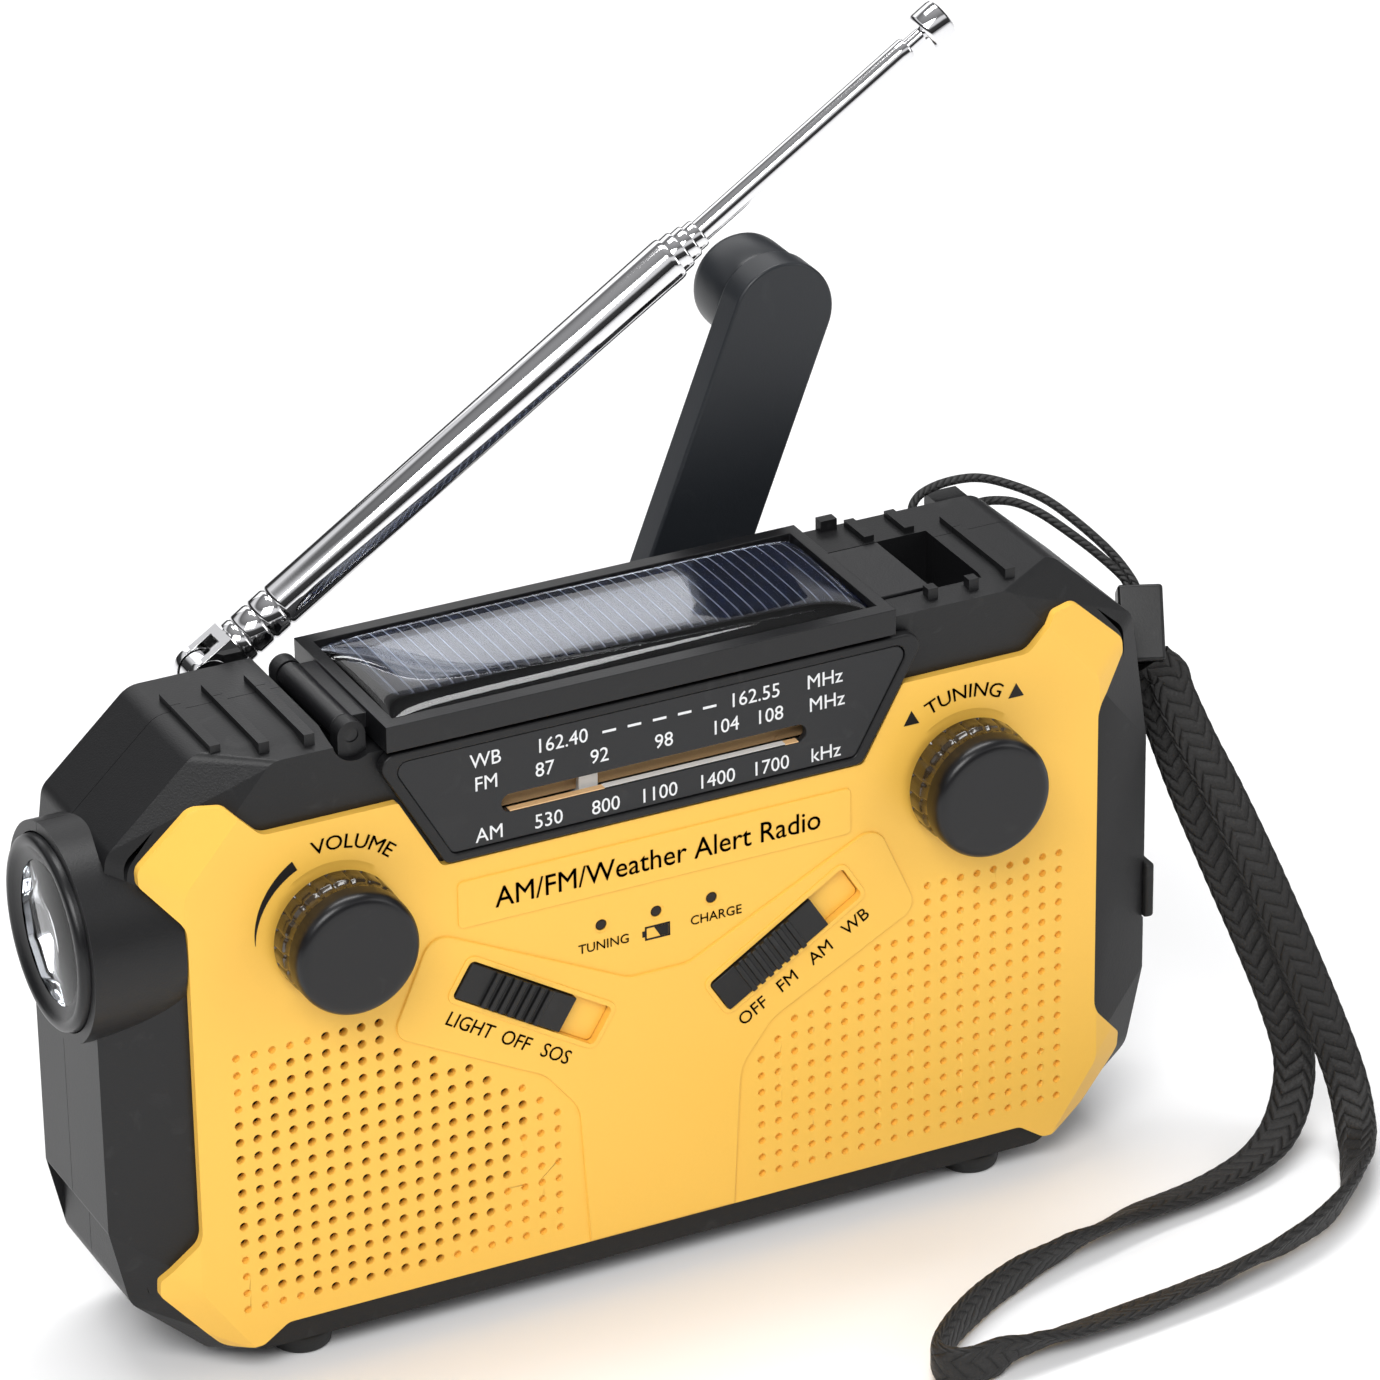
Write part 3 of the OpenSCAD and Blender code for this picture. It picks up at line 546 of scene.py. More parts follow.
def clear(name, color, roughness=0.02, ior=1.45):
    mat = bpy.data.materials.new(name)
    mat.use_nodes = True
    n, w = mat.node_tree.nodes, mat.node_tree.links
    shader = n["Principled BSDF"]
    shader.inputs["Base Color"].default_value = (*color, 1)
    shader.inputs["Transmission Weight"].default_value = 1.0
    shader.inputs["IOR"].default_value = ior
    place, smudge = n.new("ShaderNodeTexCoord"), n.new("ShaderNodeTexNoise")
    smudge.inputs["Scale"].default_value = 60
    w.new(place.outputs["Object"], smudge.inputs["Vector"])
    spread = n.new("ShaderNodeMapRange")
    spread.inputs["From Min"].default_value = 0.4
    spread.inputs["From Max"].default_value = 0.8
    spread.inputs["To Min"].default_value = roughness
    spread.inputs["To Max"].default_value = roughness + 0.04
    w.new(smudge.outputs[0], spread.inputs[0])
    w.new(spread.outputs[0], shader.inputs["Roughness"])
    return mat


FINISHES = {}


def finish(name):
    """The material of a finish, made once. Colours are linear."""
    if name in FINISHES:
        return FINISHES[name]
    p = bpy.context.scene.radio_finishes
    makers = {
        "casing": lambda n: moulded(n, p.casing, 0.44, 0.28, 0.30, 0.12, 0.06, specular=0.38),
        "panel": lambda n: moulded(n, p.panel, 0.42, 0.5, 0.06, 0.025, 0.0, specular=0.35),
        "dial": lambda n: moulded(n, (0.016, 0.0165, 0.018), 0.42, 0.2, 0.14, 0.08, 0.04, specular=0.35),
        "strip": lambda n: moulded(n, (0.80, 0.50, 0.24), 0.5, 0.3, 0.1, 0.1, 0.0),
        "ink_light": lambda n: moulded(n, (0.80, 0.81, 0.82), 0.5, 0.2, 0.1, 0.05, 0.0),
        "ink_dark": lambda n: moulded(n, (0.008, 0.006, 0.005), 0.55, 0.2, 0.1, 0.1, 0.0, specular=0.3),
        "pointer": lambda n: moulded(n, (0.80, 0.79, 0.76), 0.4, 0.3, 0.1, 0.03, 0.0),
        "gear": lambda n: moulded(n, (0.72, 0.70, 0.63), 0.5, 0.4, 0.15),
        "knob_skirt": lambda n: moulded(n, (0.030, 0.019, 0.008), 0.17, 0.3, 0.05, 0.3, 0.04, specular=0.6, coat=0.5),
        "knob_cap": lambda n: moulded(n, (0.0052, 0.0052, 0.0062), 0.32, 0.25, 0.08, 0.1, 0.03, specular=0.4),
        "switch": lambda n: moulded(n, (0.0055, 0.0055, 0.0058), 0.40, 0.3, 0.15, specular=0.4),
        "lid": lambda n: moulded(n, (0.0052, 0.0053, 0.0062), 0.34, 0.3, 0.20, 0.1, 0.04, specular=0.4),
        "cell": lambda n: moulded(n, (0.008, 0.012, 0.032), 0.16, 0.5, 0.02, 0.5, 0.0, specular=0.6),
        "cell_line": lambda n: moulded(n, (0.50, 0.54, 0.62), 0.35, 0.3, 0.05, 0.1, 0.0, metallic=0.6),
        "cover": lambda n: clear(n, (0.88, 0.92, 1.0), 0.015, 1.5),
        "lens": lambda n: clear(n, (0.97, 0.98, 1.0), 0.01, 1.35),
        "mirror": lambda n: moulded(n, (0.90, 0.91, 0.92), 0.06, 0.6, 0.02, 0.02, 0.0, metallic=1.0),
        "emitter": lambda n: moulded(n, (0.80, 0.66, 0.16), 0.4, 0.2, 0.1),
        "lamp": lambda n: moulded(n, (0.82, 0.82, 0.78), 0.35, 0.5, 0.2, 0.03),
        "indicator": lambda n: moulded(n, (0.012, 0.007, 0.004), 0.35, 0.3, 0.05, specular=0.3),
        "chrome": lambda n: moulded(n, (0.80, 0.80, 0.81), 0.07, 0.35, 0.015, 0.03, 0.03, metallic=1.0),
        "steel": lambda n: moulded(n, (0.50, 0.51, 0.53), 0.34, 0.3, 0.1, 0.08, 0.1, metallic=1.0),
        "crank": lambda n: moulded(n, p.crank, 0.38, 0.3, 0.12, 0.08, 0.04, specular=0.45),
        "brass": lambda n: moulded(n, (0.62, 0.45, 0.20), 0.3, 0.3, 0.08, 0.08, 0.1, metallic=1.0),
        "battery": lambda n: moulded(n, (0.03, 0.12, 0.36), 0.3, 0.8, 0.1),
        "board": lambda n: moulded(n, (0.01, 0.11, 0.04), 0.3, 1.2, 0.3, 0.4),
        "cone": lambda n: moulded(n, (0.03, 0.03, 0.03), 0.8, 0.8, 0.6, 0.3),
        "ferrite": lambda n: moulded(n, (0.02, 0.018, 0.017), 0.55, 0.5, 0.4, 0.3),
        "rubber": lambda n: moulded(n, (0.0085, 0.0085, 0.0085), 0.62, 0.35, 0.4, 0.2, 0.08),
        "floor": lambda n: moulded(n, (0.93, 0.93, 0.93), 0.7, 40, 0.02, 0.01, 0.0, specular=0.2),
        "webbing": lambda n: grouped(n, braid_group(), {
            "Color": (0.0085, 0.0078, 0.0074, 1), "Columns": 10, "Pitch": 2.3, "Slope": 0.9, "Depth": 0.9})[0],
        "string": lambda n: grouped(n, braid_group(), {"Color": (0.02, 0.02, 0.02, 1), "Columns": 4, "Pitch": 1.1, "Slope": 0.8, "Depth": 0.7})[0],
    }
    FINISHES[name] = makers[name]("radio_" + name)
    return FINISHES[name]


SLOT_FINISH = {
    "casing_plastic": "casing", "panel_plastic": "panel", "dial_plastic": "dial", "dial_strip": "strip", "white_plastic": "gear",
    "knob_plastic": "knob_cap", "switch_plastic": "switch", "lid_plastic": "lid", "solar_cell": "cell", "clear_cover": "cover",
    "clear_lens": "lens", "reflector": "mirror", "led": "emitter", "lamp_lens": "lamp", "indicator": "indicator",
    "antenna_chrome": "chrome", "crank_plastic": "crank", "steel": "steel", "dynamo_can": "steel", "pinion": "brass",
    "battery_wrap": "battery", "circuit_board": "board", "speaker_cone": "cone", "ferrite": "ferrite", "rubber": "rubber",
    "string": "string", "webbing": "webbing",
}


def rounded_copy(node, body, finish_name, edge, slot, segments=2, angle=30):
    """A CAD node's shape with its edges rounded, in its place."""
    obj = link(node + "_skin", bevelled(cad_mesh(node), edge, segments, angle), body, slot, finish(finish_name))
    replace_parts(obj, node)
    return obj


# ---- lettering ----
def words_mesh(words, size, bold=0.0, align="CENTER", depth=0.05):
    """Flat letters about the origin, facing +Z, as a mesh. Sizes in millimetres. Bold letters are drawn more than once, a little apart."""
    curve = bpy.data.curves.new("words", "FONT")
    curve.body = words
    curve.size = size * 0.001
    curve.extrude = depth * 0.0005
    curve.resolution_u = 3
    curve.align_x = align
    curve.align_y = "CENTER"
    obj = scratch(curve)
    mesh = plain_mesh(obj)
    bpy.data.objects.remove(obj)
    if not bold:
        return mesh
    copies = []
    for k, (dx, dy) in enumerate(((-1, -0.5), (1, -0.5), (-1, 0.5), (1, 0.5), (0, 0))):
        copies.append(placed(mesh, at(dx * bold, dy * bold, 0.004 * k)))
    return joined(*copies)


def printed(words, x, y, z, size, tilt=0.0, bold=0.0, align="CENTER", stretch=1.0):
    """Letters printed on a front face."""
    m = words_mesh(words, size, bold, align)
    m.transform(at(x, y, z) @ Matrix.Rotation(math.radians(tilt), 4, "Y") @ TOWARDS_FRONT @ Matrix.Diagonal((stretch, 1, 1, 1)))
    return m


def printed_round(words, x, y, z, radius, middle, size, bold=0.0, stretch=1.0):
    """Letters printed along an arc. The middle is an angle clockwise from the top, in degrees."""
    m = words_mesh(words, size, bold)
    for v in m.vertices:
        t = math.radians(middle) + v.co.x * 1000 * stretch / radius
        r = radius + v.co.y * 1000
        v.co = metres(x + r * math.sin(t), y - v.co.z * 1000, z + r * math.cos(t))
    return m


def plain_shape(points, y, depth=0.05):
    return plate([Vector(p) for p in points], y - depth, y + 0.02)


# ---- settings a user would change ----
class RadioFinishes(bpy.types.PropertyGroup):
    casing: bpy.props.FloatVectorProperty(name="Casing", description="Colour of the casing",
                                          subtype="COLOR", default=(0.0060, 0.0061, 0.0068), min=0, max=1)
    panel: bpy.props.FloatVectorProperty(name="Front panel", description="Colour of the front panel",
                                         subtype="COLOR", default=(0.93, 0.545, 0.088), min=0, max=1)
    crank: bpy.props.FloatVectorProperty(name="Crank", description="Colour of the crank",
                                         subtype="COLOR", default=(0.0145, 0.0168, 0.0205), min=0, max=1)


class RadioSizes(bpy.types.PropertyGroup):
    casing_edge: bpy.props.FloatProperty(name="Casing edge", description="How far the casing's edges are rounded, in millimetres",
                                         default=0.7, min=0.1, max=1.5)
    hole_mouth: bpy.props.FloatProperty(name="Grille hole", description="Radius of a grille dimple at the face, in millimetres",
                                        default=0.6, min=0.3, max=0.9)
    hole_depth: bpy.props.FloatProperty(name="Grille depth", description="Depth of a closed grille dimple, in millimetres",
                                        default=0.7, min=0.3, max=1.0)
    flutes: bpy.props.IntProperty(name="Knob flutes", description="How many flutes a knob's skirt has", default=22, min=12, max=48)
    cell_lines: bpy.props.IntProperty(name="Cell lines", description="How many fine lines cross the solar cell", default=37, min=10, max=60)
    key_light: bpy.props.FloatProperty(name="Key light", description="Power of the key light", default=10.5, min=1, max=60, subtype="POWER")
    view_turn: bpy.props.FloatProperty(name="View turn", description="Camera's angle round the radio, in degrees", default=-26.0008)
    view_rise: bpy.props.FloatProperty(name="View rise", description="Camera's angle above the ground, in degrees", default=26.7247)


# ---- lanyard ----
# Middle line of the strap, then the direction of its width; the first and last points lie inside the sleeve
STRAP = [(83.7, -4.1, 70.5, 9, -4, 0), (86.08, -4.57, 67.88, 9, -4, 0), (86.6, -5.6, 65, 9, -4, 0), (88.6, -9, 58, 9, -4, 0),
         (91, -12.6, 51, 9, -4, 0),
         (94, -17.6, 41, 9, -4, 0), (97.4, -21.6, 30, 9, -4, 0), (100.6, -25.4, 19, 9, -4, 0), (102.4, -29, 10.5, 9, -5, 0),
         (101.4, -33.6, 5.6, 8, -5, 3), (98.6, -39, 4, 6, -5, 6), (94, -45, 3.8, 3, -4, 9), (87.6, -50.2, 3.6, 1, -3, 9),
         (79.6, -53.6, 3.2, 1, -5, 9), (71, -55.6, 2.8, 1, -8, 7), (62, -57.2, 2.4, 1, -8, 4), (51, -58.6, 2.2, 1, -8, 3),
         (41, -59.6, 2.4, 1, -8, 4), (33, -60.8, 3, 1, -6, 8), (27, -62.2, 3.4, 0, 0, 1), (23, -62.4, 3.4, 0, 0, 1),
         (20.6, -60.6, 3.4, 0, 0, 1), (20.8, -58, 3.4, 0, 0, 1), (24.6, -54, 3.4, 0, 0, 1), (30.6, -49.6, 3.4, 0, 0, 1),
         (38.6, -45.2, 3.3, 0, -1, 9), (48.6, -41.2, 3, 0, -4, 8), (57.6, -38.2, 2.6, 0, -8, 6), (66, -36, 2.2, 1, -9, 3),
         (75, -34.6, 2, 2, -9, 2), (84, -32.4, 2.4, 3, -9, 1), (90.6, -29.4, 3.6, 6, -8, 0), (95.4, -25.6, 6.6, 8, -6, 0),
         (97.6, -22.6, 12, 9, -5, 0), (96.6, -19.4, 20, 9, -4, 0), (94.4, -15.6, 29, 9, -4, 0), (91.6, -11.4, 39, 9, -4, 0),
         (88.4, -7, 50.4, 9, -4, 0), (86, -3.4, 60.6, 9, -4, 0), (84.9, -2, 64.4, 9, -4, 0),
         (84.55, -1.75, 67.2, 9, -4, 0), (83.1, -2.9, 70.3, 9, -4, 0)]
STRING = [(66, 18.2, 88.6), (69, 17.8, 89.2), (72, 15.4, 89.4), (74.6, 12.4, 88.4), (77.6, 9.4, 86), (81, 6.8, 82.8),
          (83.8, 4.2, 79.5), (83.7, 2.85, 78), (84.4, 2.1, 77.5), (84.8, 3.1, 79), (83.2, 6.4, 82.4), (79.6, 9.8, 86.6),
          (76, 13.4, 89.8), (72, 16.8, 91.6), (68, 18.9, 92.6), (63, 19.2, 92.8), (59, 19, 91.9), (57.4, 18.4, 90.2),
          (58.4, 18.2, 88.9), (60, 18.2, 88.6)]
STRAP_HALF, STRAP_THICK, STRING_RADIUS = 3.1, 1.0, 0.65


def strap_rows():
    """The strap's middle line and the direction of its width at each step."""
    places = smooth_path([r[:3] for r in STRAP], 0.55)
    out, i = [], 0
    dirs = [Vector(r[3:]).normalized() for r in STRAP]
    ends = [Vector(r[:3]) for r in STRAP]
    for p in places:
        while i < len(ends) - 2 and (p - ends[i]).dot(ends[i + 1] - ends[i]) > (ends[i + 1] - ends[i]).length_squared:
            i += 1
        share = max(0.0, min(1.0, (p - ends[i]).dot(ends[i + 1] - ends[i]) / (ends[i + 1] - ends[i]).length_squared))
        out.append(dirs[i].lerp(dirs[i + 1], share * share * (3 - 2 * share)))
    return places, out


class RADIO_OT_lanyard(bpy.types.Operator):
    """Flat braided wrist strap, its moulded sleeve and the string to the eyelet"""

    bl_idname = "radio.lanyard"
    bl_label = "Lanyard"

    def execute(self, context):
        places, widths = strap_rows()
        corners = 28

        def braid_section(along):
            out = []
            for k in range(corners):
                t = 2 * math.pi * k / corners
                c, s = math.cos(t), math.sin(t)
                u = k / corners
                fold = abs((u * 10) % 2 - 1)
                yarn = (along / 2.3 + fold * 0.9) % 1
                lump = 0.16 * math.sqrt(max(math.sin(math.pi * yarn), 0)) - 0.12
                a = (STRAP_HALF - 0.1 + lump) * math.copysign(abs(c) ** 0.75, c)
                b = (STRAP_THICK - 0.05 + lump) * math.copysign(abs(s) ** 0.75, s)
                out.append((a, b, u))
            return out

        strap = link("braided_strap", swept(places, braid_section, lambda i: widths[i]), "casing", "webbing", finish("webbing"))
        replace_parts(strap, "wrist_strap")
        route = smooth_path(STRING, 0.4)

        def round_section(along):
            return [(STRING_RADIUS * math.cos(2 * math.pi * k / 10), STRING_RADIUS * math.sin(2 * math.pi * k / 10), k / 10) for k in range(10)]

        string = link("eyelet_string", swept(route, round_section), "casing", "string", finish("string"))
        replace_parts(string, "lanyard_string")
        sleeve = rounded_copy("strap_sleeve", "casing", "switch", 0.7, "switch_plastic", 3)
        return {"FINISHED"}


class RADIO_OT_casing(bpy.types.Operator):
    """Front and rear shells, battery door, feet, port cover and screws"""

    bl_idname = "radio.casing"
    bl_label = "Casing"

    def execute(self, context):
        edge = context.scene.radio_sizes.casing_edge
        for node in ("front_shell", "rear_shell"):
            rounded_copy(node, "casing", "casing", edge, "casing_plastic", 3, 24)
        rounded_copy("battery_door", "casing", "casing", 0.35, "casing_plastic")
        rounded_copy("port_cover", "port_flap", "rubber", 0.5, "rubber", 3)
        rounded_copy("feet", "casing", "rubber", 0.5, "rubber", 3)
        screws = cad_mesh("case_screws", planar=False)
        heads = []
        for x, z in ((-65, 84.2), (66, 84.2), (-71, 25.5), (71, 25.5)):
            for turn in (0, 90):
                bar = plate([Vector((-1.5, -0.3)), Vector((1.5, -0.3)), Vector((1.5, 0.3)), Vector((-1.5, 0.3))], 13.8, 15.4)
                heads.append((placed(bar, at(x, 0, z) @ Matrix.Rotation(math.radians(turn + 20), 4, "Y"))))
        for bar in heads:
            screws = cut(screws, bar)
        smooth(screws)
        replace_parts(link("cross_screws", screws, "casing", "steel", finish("steel")), "case_screws")
        return {"FINISHED"}


def grille_points(side, through):
    """Grille positions on one side: the through holes of the left side, or the closed dimples everywhere else."""
    out = []
    for row, count in enumerate(HOLES_IN_ROW):
        for col in range(count):
            z = HOLE_LOW[1] + HOLE_PITCH * row
            is_open = side < 0 and math.hypot(col - 7.6, row - 7.3) < 8.5
            if is_open == through:
                out.append((side * (HOLE_LOW[0] - HOLE_PITCH * col), z))
    return out


class RADIO_OT_front_panel(bpy.types.Operator):
    """Yellow front panel with its grille, raised Y, title strip and switch slots"""

    bl_idname = "radio.front_panel"
    bl_label = "Front panel"

    def execute(self, context):
        s = context.scene.radio_sizes
        body = cad_mesh("front_panel")
        rise = 0.42
        y_outline = both_sides([[11.2, 8.0, 0], [12.4, 29.6, 6], [17.4, 36.0, 6], [39.9, 47.8, 2.6], [33.6, 62.3, 3], [4.5, 48.0, 5]])
        body = cut(body, plate(y_outline, PANEL_Y - rise, PANEL_Y + 0.6, 0.3), "UNION")
        strip = rounded([[-29.6, 61.7, 0.8], [29.6, 61.7, 0.8], [29.6, 68.8, 0.8], [-29.6, 68.8, 0.8]])
        body = cut(body, plate(strip, PANEL_Y - 0.3, PANEL_Y + 0.6, 0.22), "UNION")
        for side in (-1, 1):
            rim = rounded([[-12.9, -3.7, 1.4], [12.9, -3.7, 1.4], [12.9, 3.7, 1.4], [-12.9, 3.7, 1.4]])
            slot = rounded([[-12.2, -2.95, 0.8], [12.2, -2.95, 0.8], [12.2, 2.95, 0.8], [-12.2, 2.95, 0.8]])
            turn = at(side * SWITCH_X, 0, SWITCH_Z) @ Matrix.Rotation(math.radians(SWITCH_TILT[side]), 4, "Y")
            body = cut(body, placed(plate(rim, PANEL_Y - rise - 0.25, PANEL_Y + 0.6, 0.2), turn), "UNION")
            body = cut(body, placed(plate(slot, PANEL_Y - 3, PANEL_Y + 2.5), turn))
        # shallow dish round each knob, closed grille dimples, countersinks of the open holes, indicator wells
        for side in (-1, 1):
            dish = placed(lathe([[0, 0], [9.2, 0], [10.2, 0.35], [11.2, 1.2],
                                 [0, 1.2]], 64), at(side * KNOB_X, PANEL_Y + 0.35, KNOB_Z) @ TOWARDS_FRONT)
            body = cut(body, dish)
        closed = [(x, PANEL_Y + s.hole_depth, z) for side in (-1, 1) for x, z in grille_points(side, False)]
        opened = [(x, PANEL_Y + 0.22, z) for x, z in grille_points(-1, True)]
        pits = repeated(closed, "pit", {"Mouth": s.hole_mouth, "Bottom": 0.42, "Depth": s.hole_depth + 0.1})
        rims = repeated(opened, "pit", {"Mouth": s.hole_mouth + 0.14, "Bottom": 0.56, "Depth": 0.3})
        wells = repeated([(x, PANEL_Y + 0.3, 56.8) for x in (-8.3, 0, 8.4)], "pit", {"Mouth": 1.3, "Bottom": 0.95, "Depth": 0.4})
        for holes in (pits, rims, wells):
            body = cut(body, holes)
        body = evened(body, 30)
        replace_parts(link("panel_skin", body, "casing", "panel_plastic", finish("panel")), "front_panel")
        floor_marks = []
        for side in (-1, 1):
            slot = rounded([[-12.1, -2.9, 0.8], [12.1, -2.9, 0.8], [12.1, 2.9, 0.8], [-12.1, 2.9, 0.8]])
            hole = rounded([[-4.8, -1.2, 0.3], [4.8, -1.2, 0.3], [4.8, 1.2, 0.3], [-4.8, 1.2, 0.3]])
            turn = at(side * SWITCH_X, 0, SWITCH_Z) @ Matrix.Rotation(math.radians(SWITCH_TILT[side]), 4, "Y")
            floor = placed(plate(slot, PANEL_Y + 0.55, PANEL_Y + 1.15, 0.1), turn)
            floor_marks.append(cut(floor, placed(plate(hole, PANEL_Y - 1, PANEL_Y + 2), turn)))
        link("switch_wells", joined(*floor_marks), "casing", "panel_plastic", finish("panel"))
        return {"FINISHED"}


class RADIO_OT_lettering(bpy.types.Operator):
    """Dark function words on the front panel"""

    bl_idname = "radio.lettering"
    bl_label = "Panel lettering"

    def execute(self, context):
        y = PANEL_Y - 0.02
        words = [printed("AM/FM/Weather Alert Radio", 0.4, y - 0.3, 65.1, 4.4, 0, 0.2, stretch=0.94)]
        words.append(printed_round("VOLUME", -KNOB_X, y, KNOB_Z, 12.9, 15, 3.0, 0.16, 1.06))
        words.append(printed_round("TUNING", KNOB_X, y, KNOB_Z, 12.9, -1, 3.0, 0.16, 1.06))
        for t in (-38, 35):
            x, z = KNOB_X + 13.7 * math.sin(math.radians(t)), KNOB_Z + 13.7 * math.cos(math.radians(t))
            words.append(plain_shape([(x - 1.2, z - 0.9), (x + 1.2, z - 0.9), (x, z + 1.2)], y))
        inner, outer = [], []
        for k in range(17):
            t = math.radians(-88 + 62 * k / 16)
            grow = 1.5 * k / 16
            inner.append((-KNOB_X + 11.4 * math.sin(t), KNOB_Z + 11.4 * math.cos(t)))
            outer.append((-KNOB_X + (11.45 + grow) * math.sin(t), KNOB_Z + (11.45 + grow) * math.cos(t)))
        words.append(plain_shape(inner + outer[::-1], y))
        words.append(printed("TUNING", -8.1, y, 53.9, 2.0, 0, 0.08))
        words.append(printed("CHARGE", 8.9, y, 54.1, 2.0, 0, 0.08))
        frame_z = 53.9
        for x0, x1, z0, z1 in ((-1.9, 1.9, 0.8, 1.05), (-1.9, 1.9, -1.05, -0.8), (-1.9, -1.65, -1.05, 1.05),
                               (1.65, 1.9, -1.05, 1.05), (-2.3, -1.85, -0.45, 0.45)):
            words.append(plain_shape([(x0, frame_z + z0), (x1, frame_z + z0), (x1, frame_z + z1), (x0, frame_z + z1)], y))
        words.append(plain_shape([(0.4, frame_z - 0.75), (1.6, frame_z - 0.75), (1.6, frame_z + 0.75), (-0.5, frame_z + 0.75)], y))
        step = math.radians(SWITCH_TILT[-1])
        for text, run in (("LIGHT", -7.3), ("OFF", 0.6), ("SOS", 7.5)):
            x = -SWITCH_X + run * math.cos(step) - 5.9 * math.sin(step)
            z = SWITCH_Z - run * math.sin(step) - 5.9 * math.cos(step)
            words.append(printed(text, x, y - 0.4, z, 3.0, SWITCH_TILT[-1], 0.16, stretch=0.94))
        step = math.radians(SWITCH_TILT[1])
        for text, run in (("OFF", -9.6), ("FM", -3.3), ("AM", 2.8), ("WB", 9.2)):
            x = SWITCH_X + run * math.cos(step) - 5.9 * math.sin(step)
            z = SWITCH_Z - run * math.sin(step) - 5.9 * math.cos(step)
            words.append(printed(text, x, y - 0.4, z, 2.9, SWITCH_TILT[1], 0.16, stretch=0.94))
        link("panel_words", joined(*words), "casing", None, finish("ink_dark"))
        return {"FINISHED"}


class RADIO_OT_dial(bpy.types.Operator):
    """Dial bezel and plate with its printed scale"""

    bl_idname = "radio.dial"
    bl_label = "Dial"

    def execute(self, context):
        rounded_copy("dial_bezel", "casing", "casing", 0.3, "casing_plastic", 3)
        rounded_copy("dial_plate", "casing", "dial", 0.15, "dial_plastic")
        y = PANEL_Y - 0.32
        marks = []
        for text, x, z, size in (
            ("WB", -25, 86.3, 3), ("162.40", -13.8, 86.3, 3), ("162.55", 15, 86.3, 3), ("MHz", 25.6, 86.3, 3),
            ("FM", -25, 82.8, 3), ("87", -16.4, 82.8, 3), ("92", -8.3, 82.8, 3), ("98", 1.3, 82.8, 3), ("104", 10.5, 82.8, 3),
            ("108", 17.2, 82.8, 3), ("MHz", 25.9, 82.8, 3),
            ("AM", -24.7, 75.1, 3), ("530", -16, 75.1, 3), ("800", -7.5, 75.1, 3), ("1100", 0.4, 75.1, 3), ("1400", 9.1, 75.1, 3),
            ("1700", 17.3, 75.1, 3), ("kHz", 25.7, 75.1, 3)):
            marks.append(printed(text, x, y, z, size, 0, 0.0, stretch=0.96))
        for k in range(5):
            x = -6.8 + 3.75 * k
            marks.append(plain_shape([(x - 1.0, 86.1), (x + 1.0, 86.1), (x + 1.0, 86.45), (x - 1.0, 86.45)], y))
        link("dial_scale", joined(*marks), "casing", None, finish("ink_light"))
        back = cut(plate([Vector(p) for p in ((-23.8, 77.02), (23.8, 77.02), (23.8, 80.8), (-23.8, 80.8))], -13.2, -12.8, 0.05),
                   plate([Vector(p) for p in ((-7.6, 76.0), (19.6, 76.0), (19.6, 77.9), (-7.6, 77.9))], -14, -13.1))
        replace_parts(link("dial_strip", back, "casing", "dial_strip", finish("strip")), "dial_backplate")
        for name, look, x0, x1 in (("slot_sill", "strip", -21.6, 21.6), ("slot_gleam", "pointer", -7.6, 19.6)):
            top = 77.84 if look == "strip" else 77.90
            sill = plate([Vector(p) for p in ((x0, 77.71), (x1, 77.71), (x1, top), (x0, top))], -16.24, -15.14)
            link(name, sill, "casing", "dial_strip", finish(look))
        return {"FINISHED"}


def knob_mesh(side, flutes):
    """A knob's smoky fluted skirt and its black cap."""
    def flute(r, h, t):
        return -0.24 * (0.5 + 0.5 * math.cos(flutes * t)) ** 8 if 16.9 < h < 21.6 and r > 8 else 0

    skirt = [[0, 16.5], [8.8, 16.5], [9.1, 16.8], [9.1, 17.0], [9.1, 17.1], [9.08, 18.2], [9.05, 19.1], [8.95, 19.4], [8.68, 19.7],
             [8.62, 20.6], [8.58, 21.5], [8.56, 21.7], [8.2, 21.8], [0, 21.8]]
    cap = [[0, 21.3], [8.8, 21.3], [8.94, 21.45], [8.94, 22.8], [8.88, 23.5], [8.72, 24.0], [8.42, 24.38], [8.05, 24.6], [7.5, 24.69],
           [6.9, 24.7], [3, 24.66], [0, 24.65]]
    place = at(side * KNOB_X, 0, KNOB_Z) @ TOWARDS_FRONT
    return placed(lathe(skirt, flutes * 12, ripple=flute), place), placed(lathe(cap, 128), place)


class RADIO_OT_knobs(bpy.types.Operator):
    """Volume and tuning knobs with fluted skirts and their caps"""

    bl_idname = "radio.knobs"
    bl_label = "Knobs"

    def execute(self, context):
        flutes = context.scene.radio_sizes.flutes
        for side, body in ((-1, "volume"), (1, "tuning")):
            low, high = knob_mesh(side, flutes)
            link(body + "_skirt", low, body, "knob_plastic", finish("knob_skirt"))
            cap = link(body + "_cap", high, body, "knob_plastic", finish("knob_cap"))
            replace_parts(cap, body + "_knob")
        return {"FINISHED"}


class RADIO_OT_switches(bpy.types.Operator):
    """Ribbed slide switches and the indicator lights"""

    bl_idname = "radio.switches"
    bl_label = "Switches"

    def execute(self, context):
        rounded_copy("light_switch_slider", "light_switch", "switch", 0.16, "switch_plastic")
        rounded_copy("band_switch_slider", "band_switch", "switch", 0.16, "switch_plastic")
        rounded_copy("indicator_leds", "casing", "indicator", 0.2, "indicator", 3)
        return {"FINISHED"}


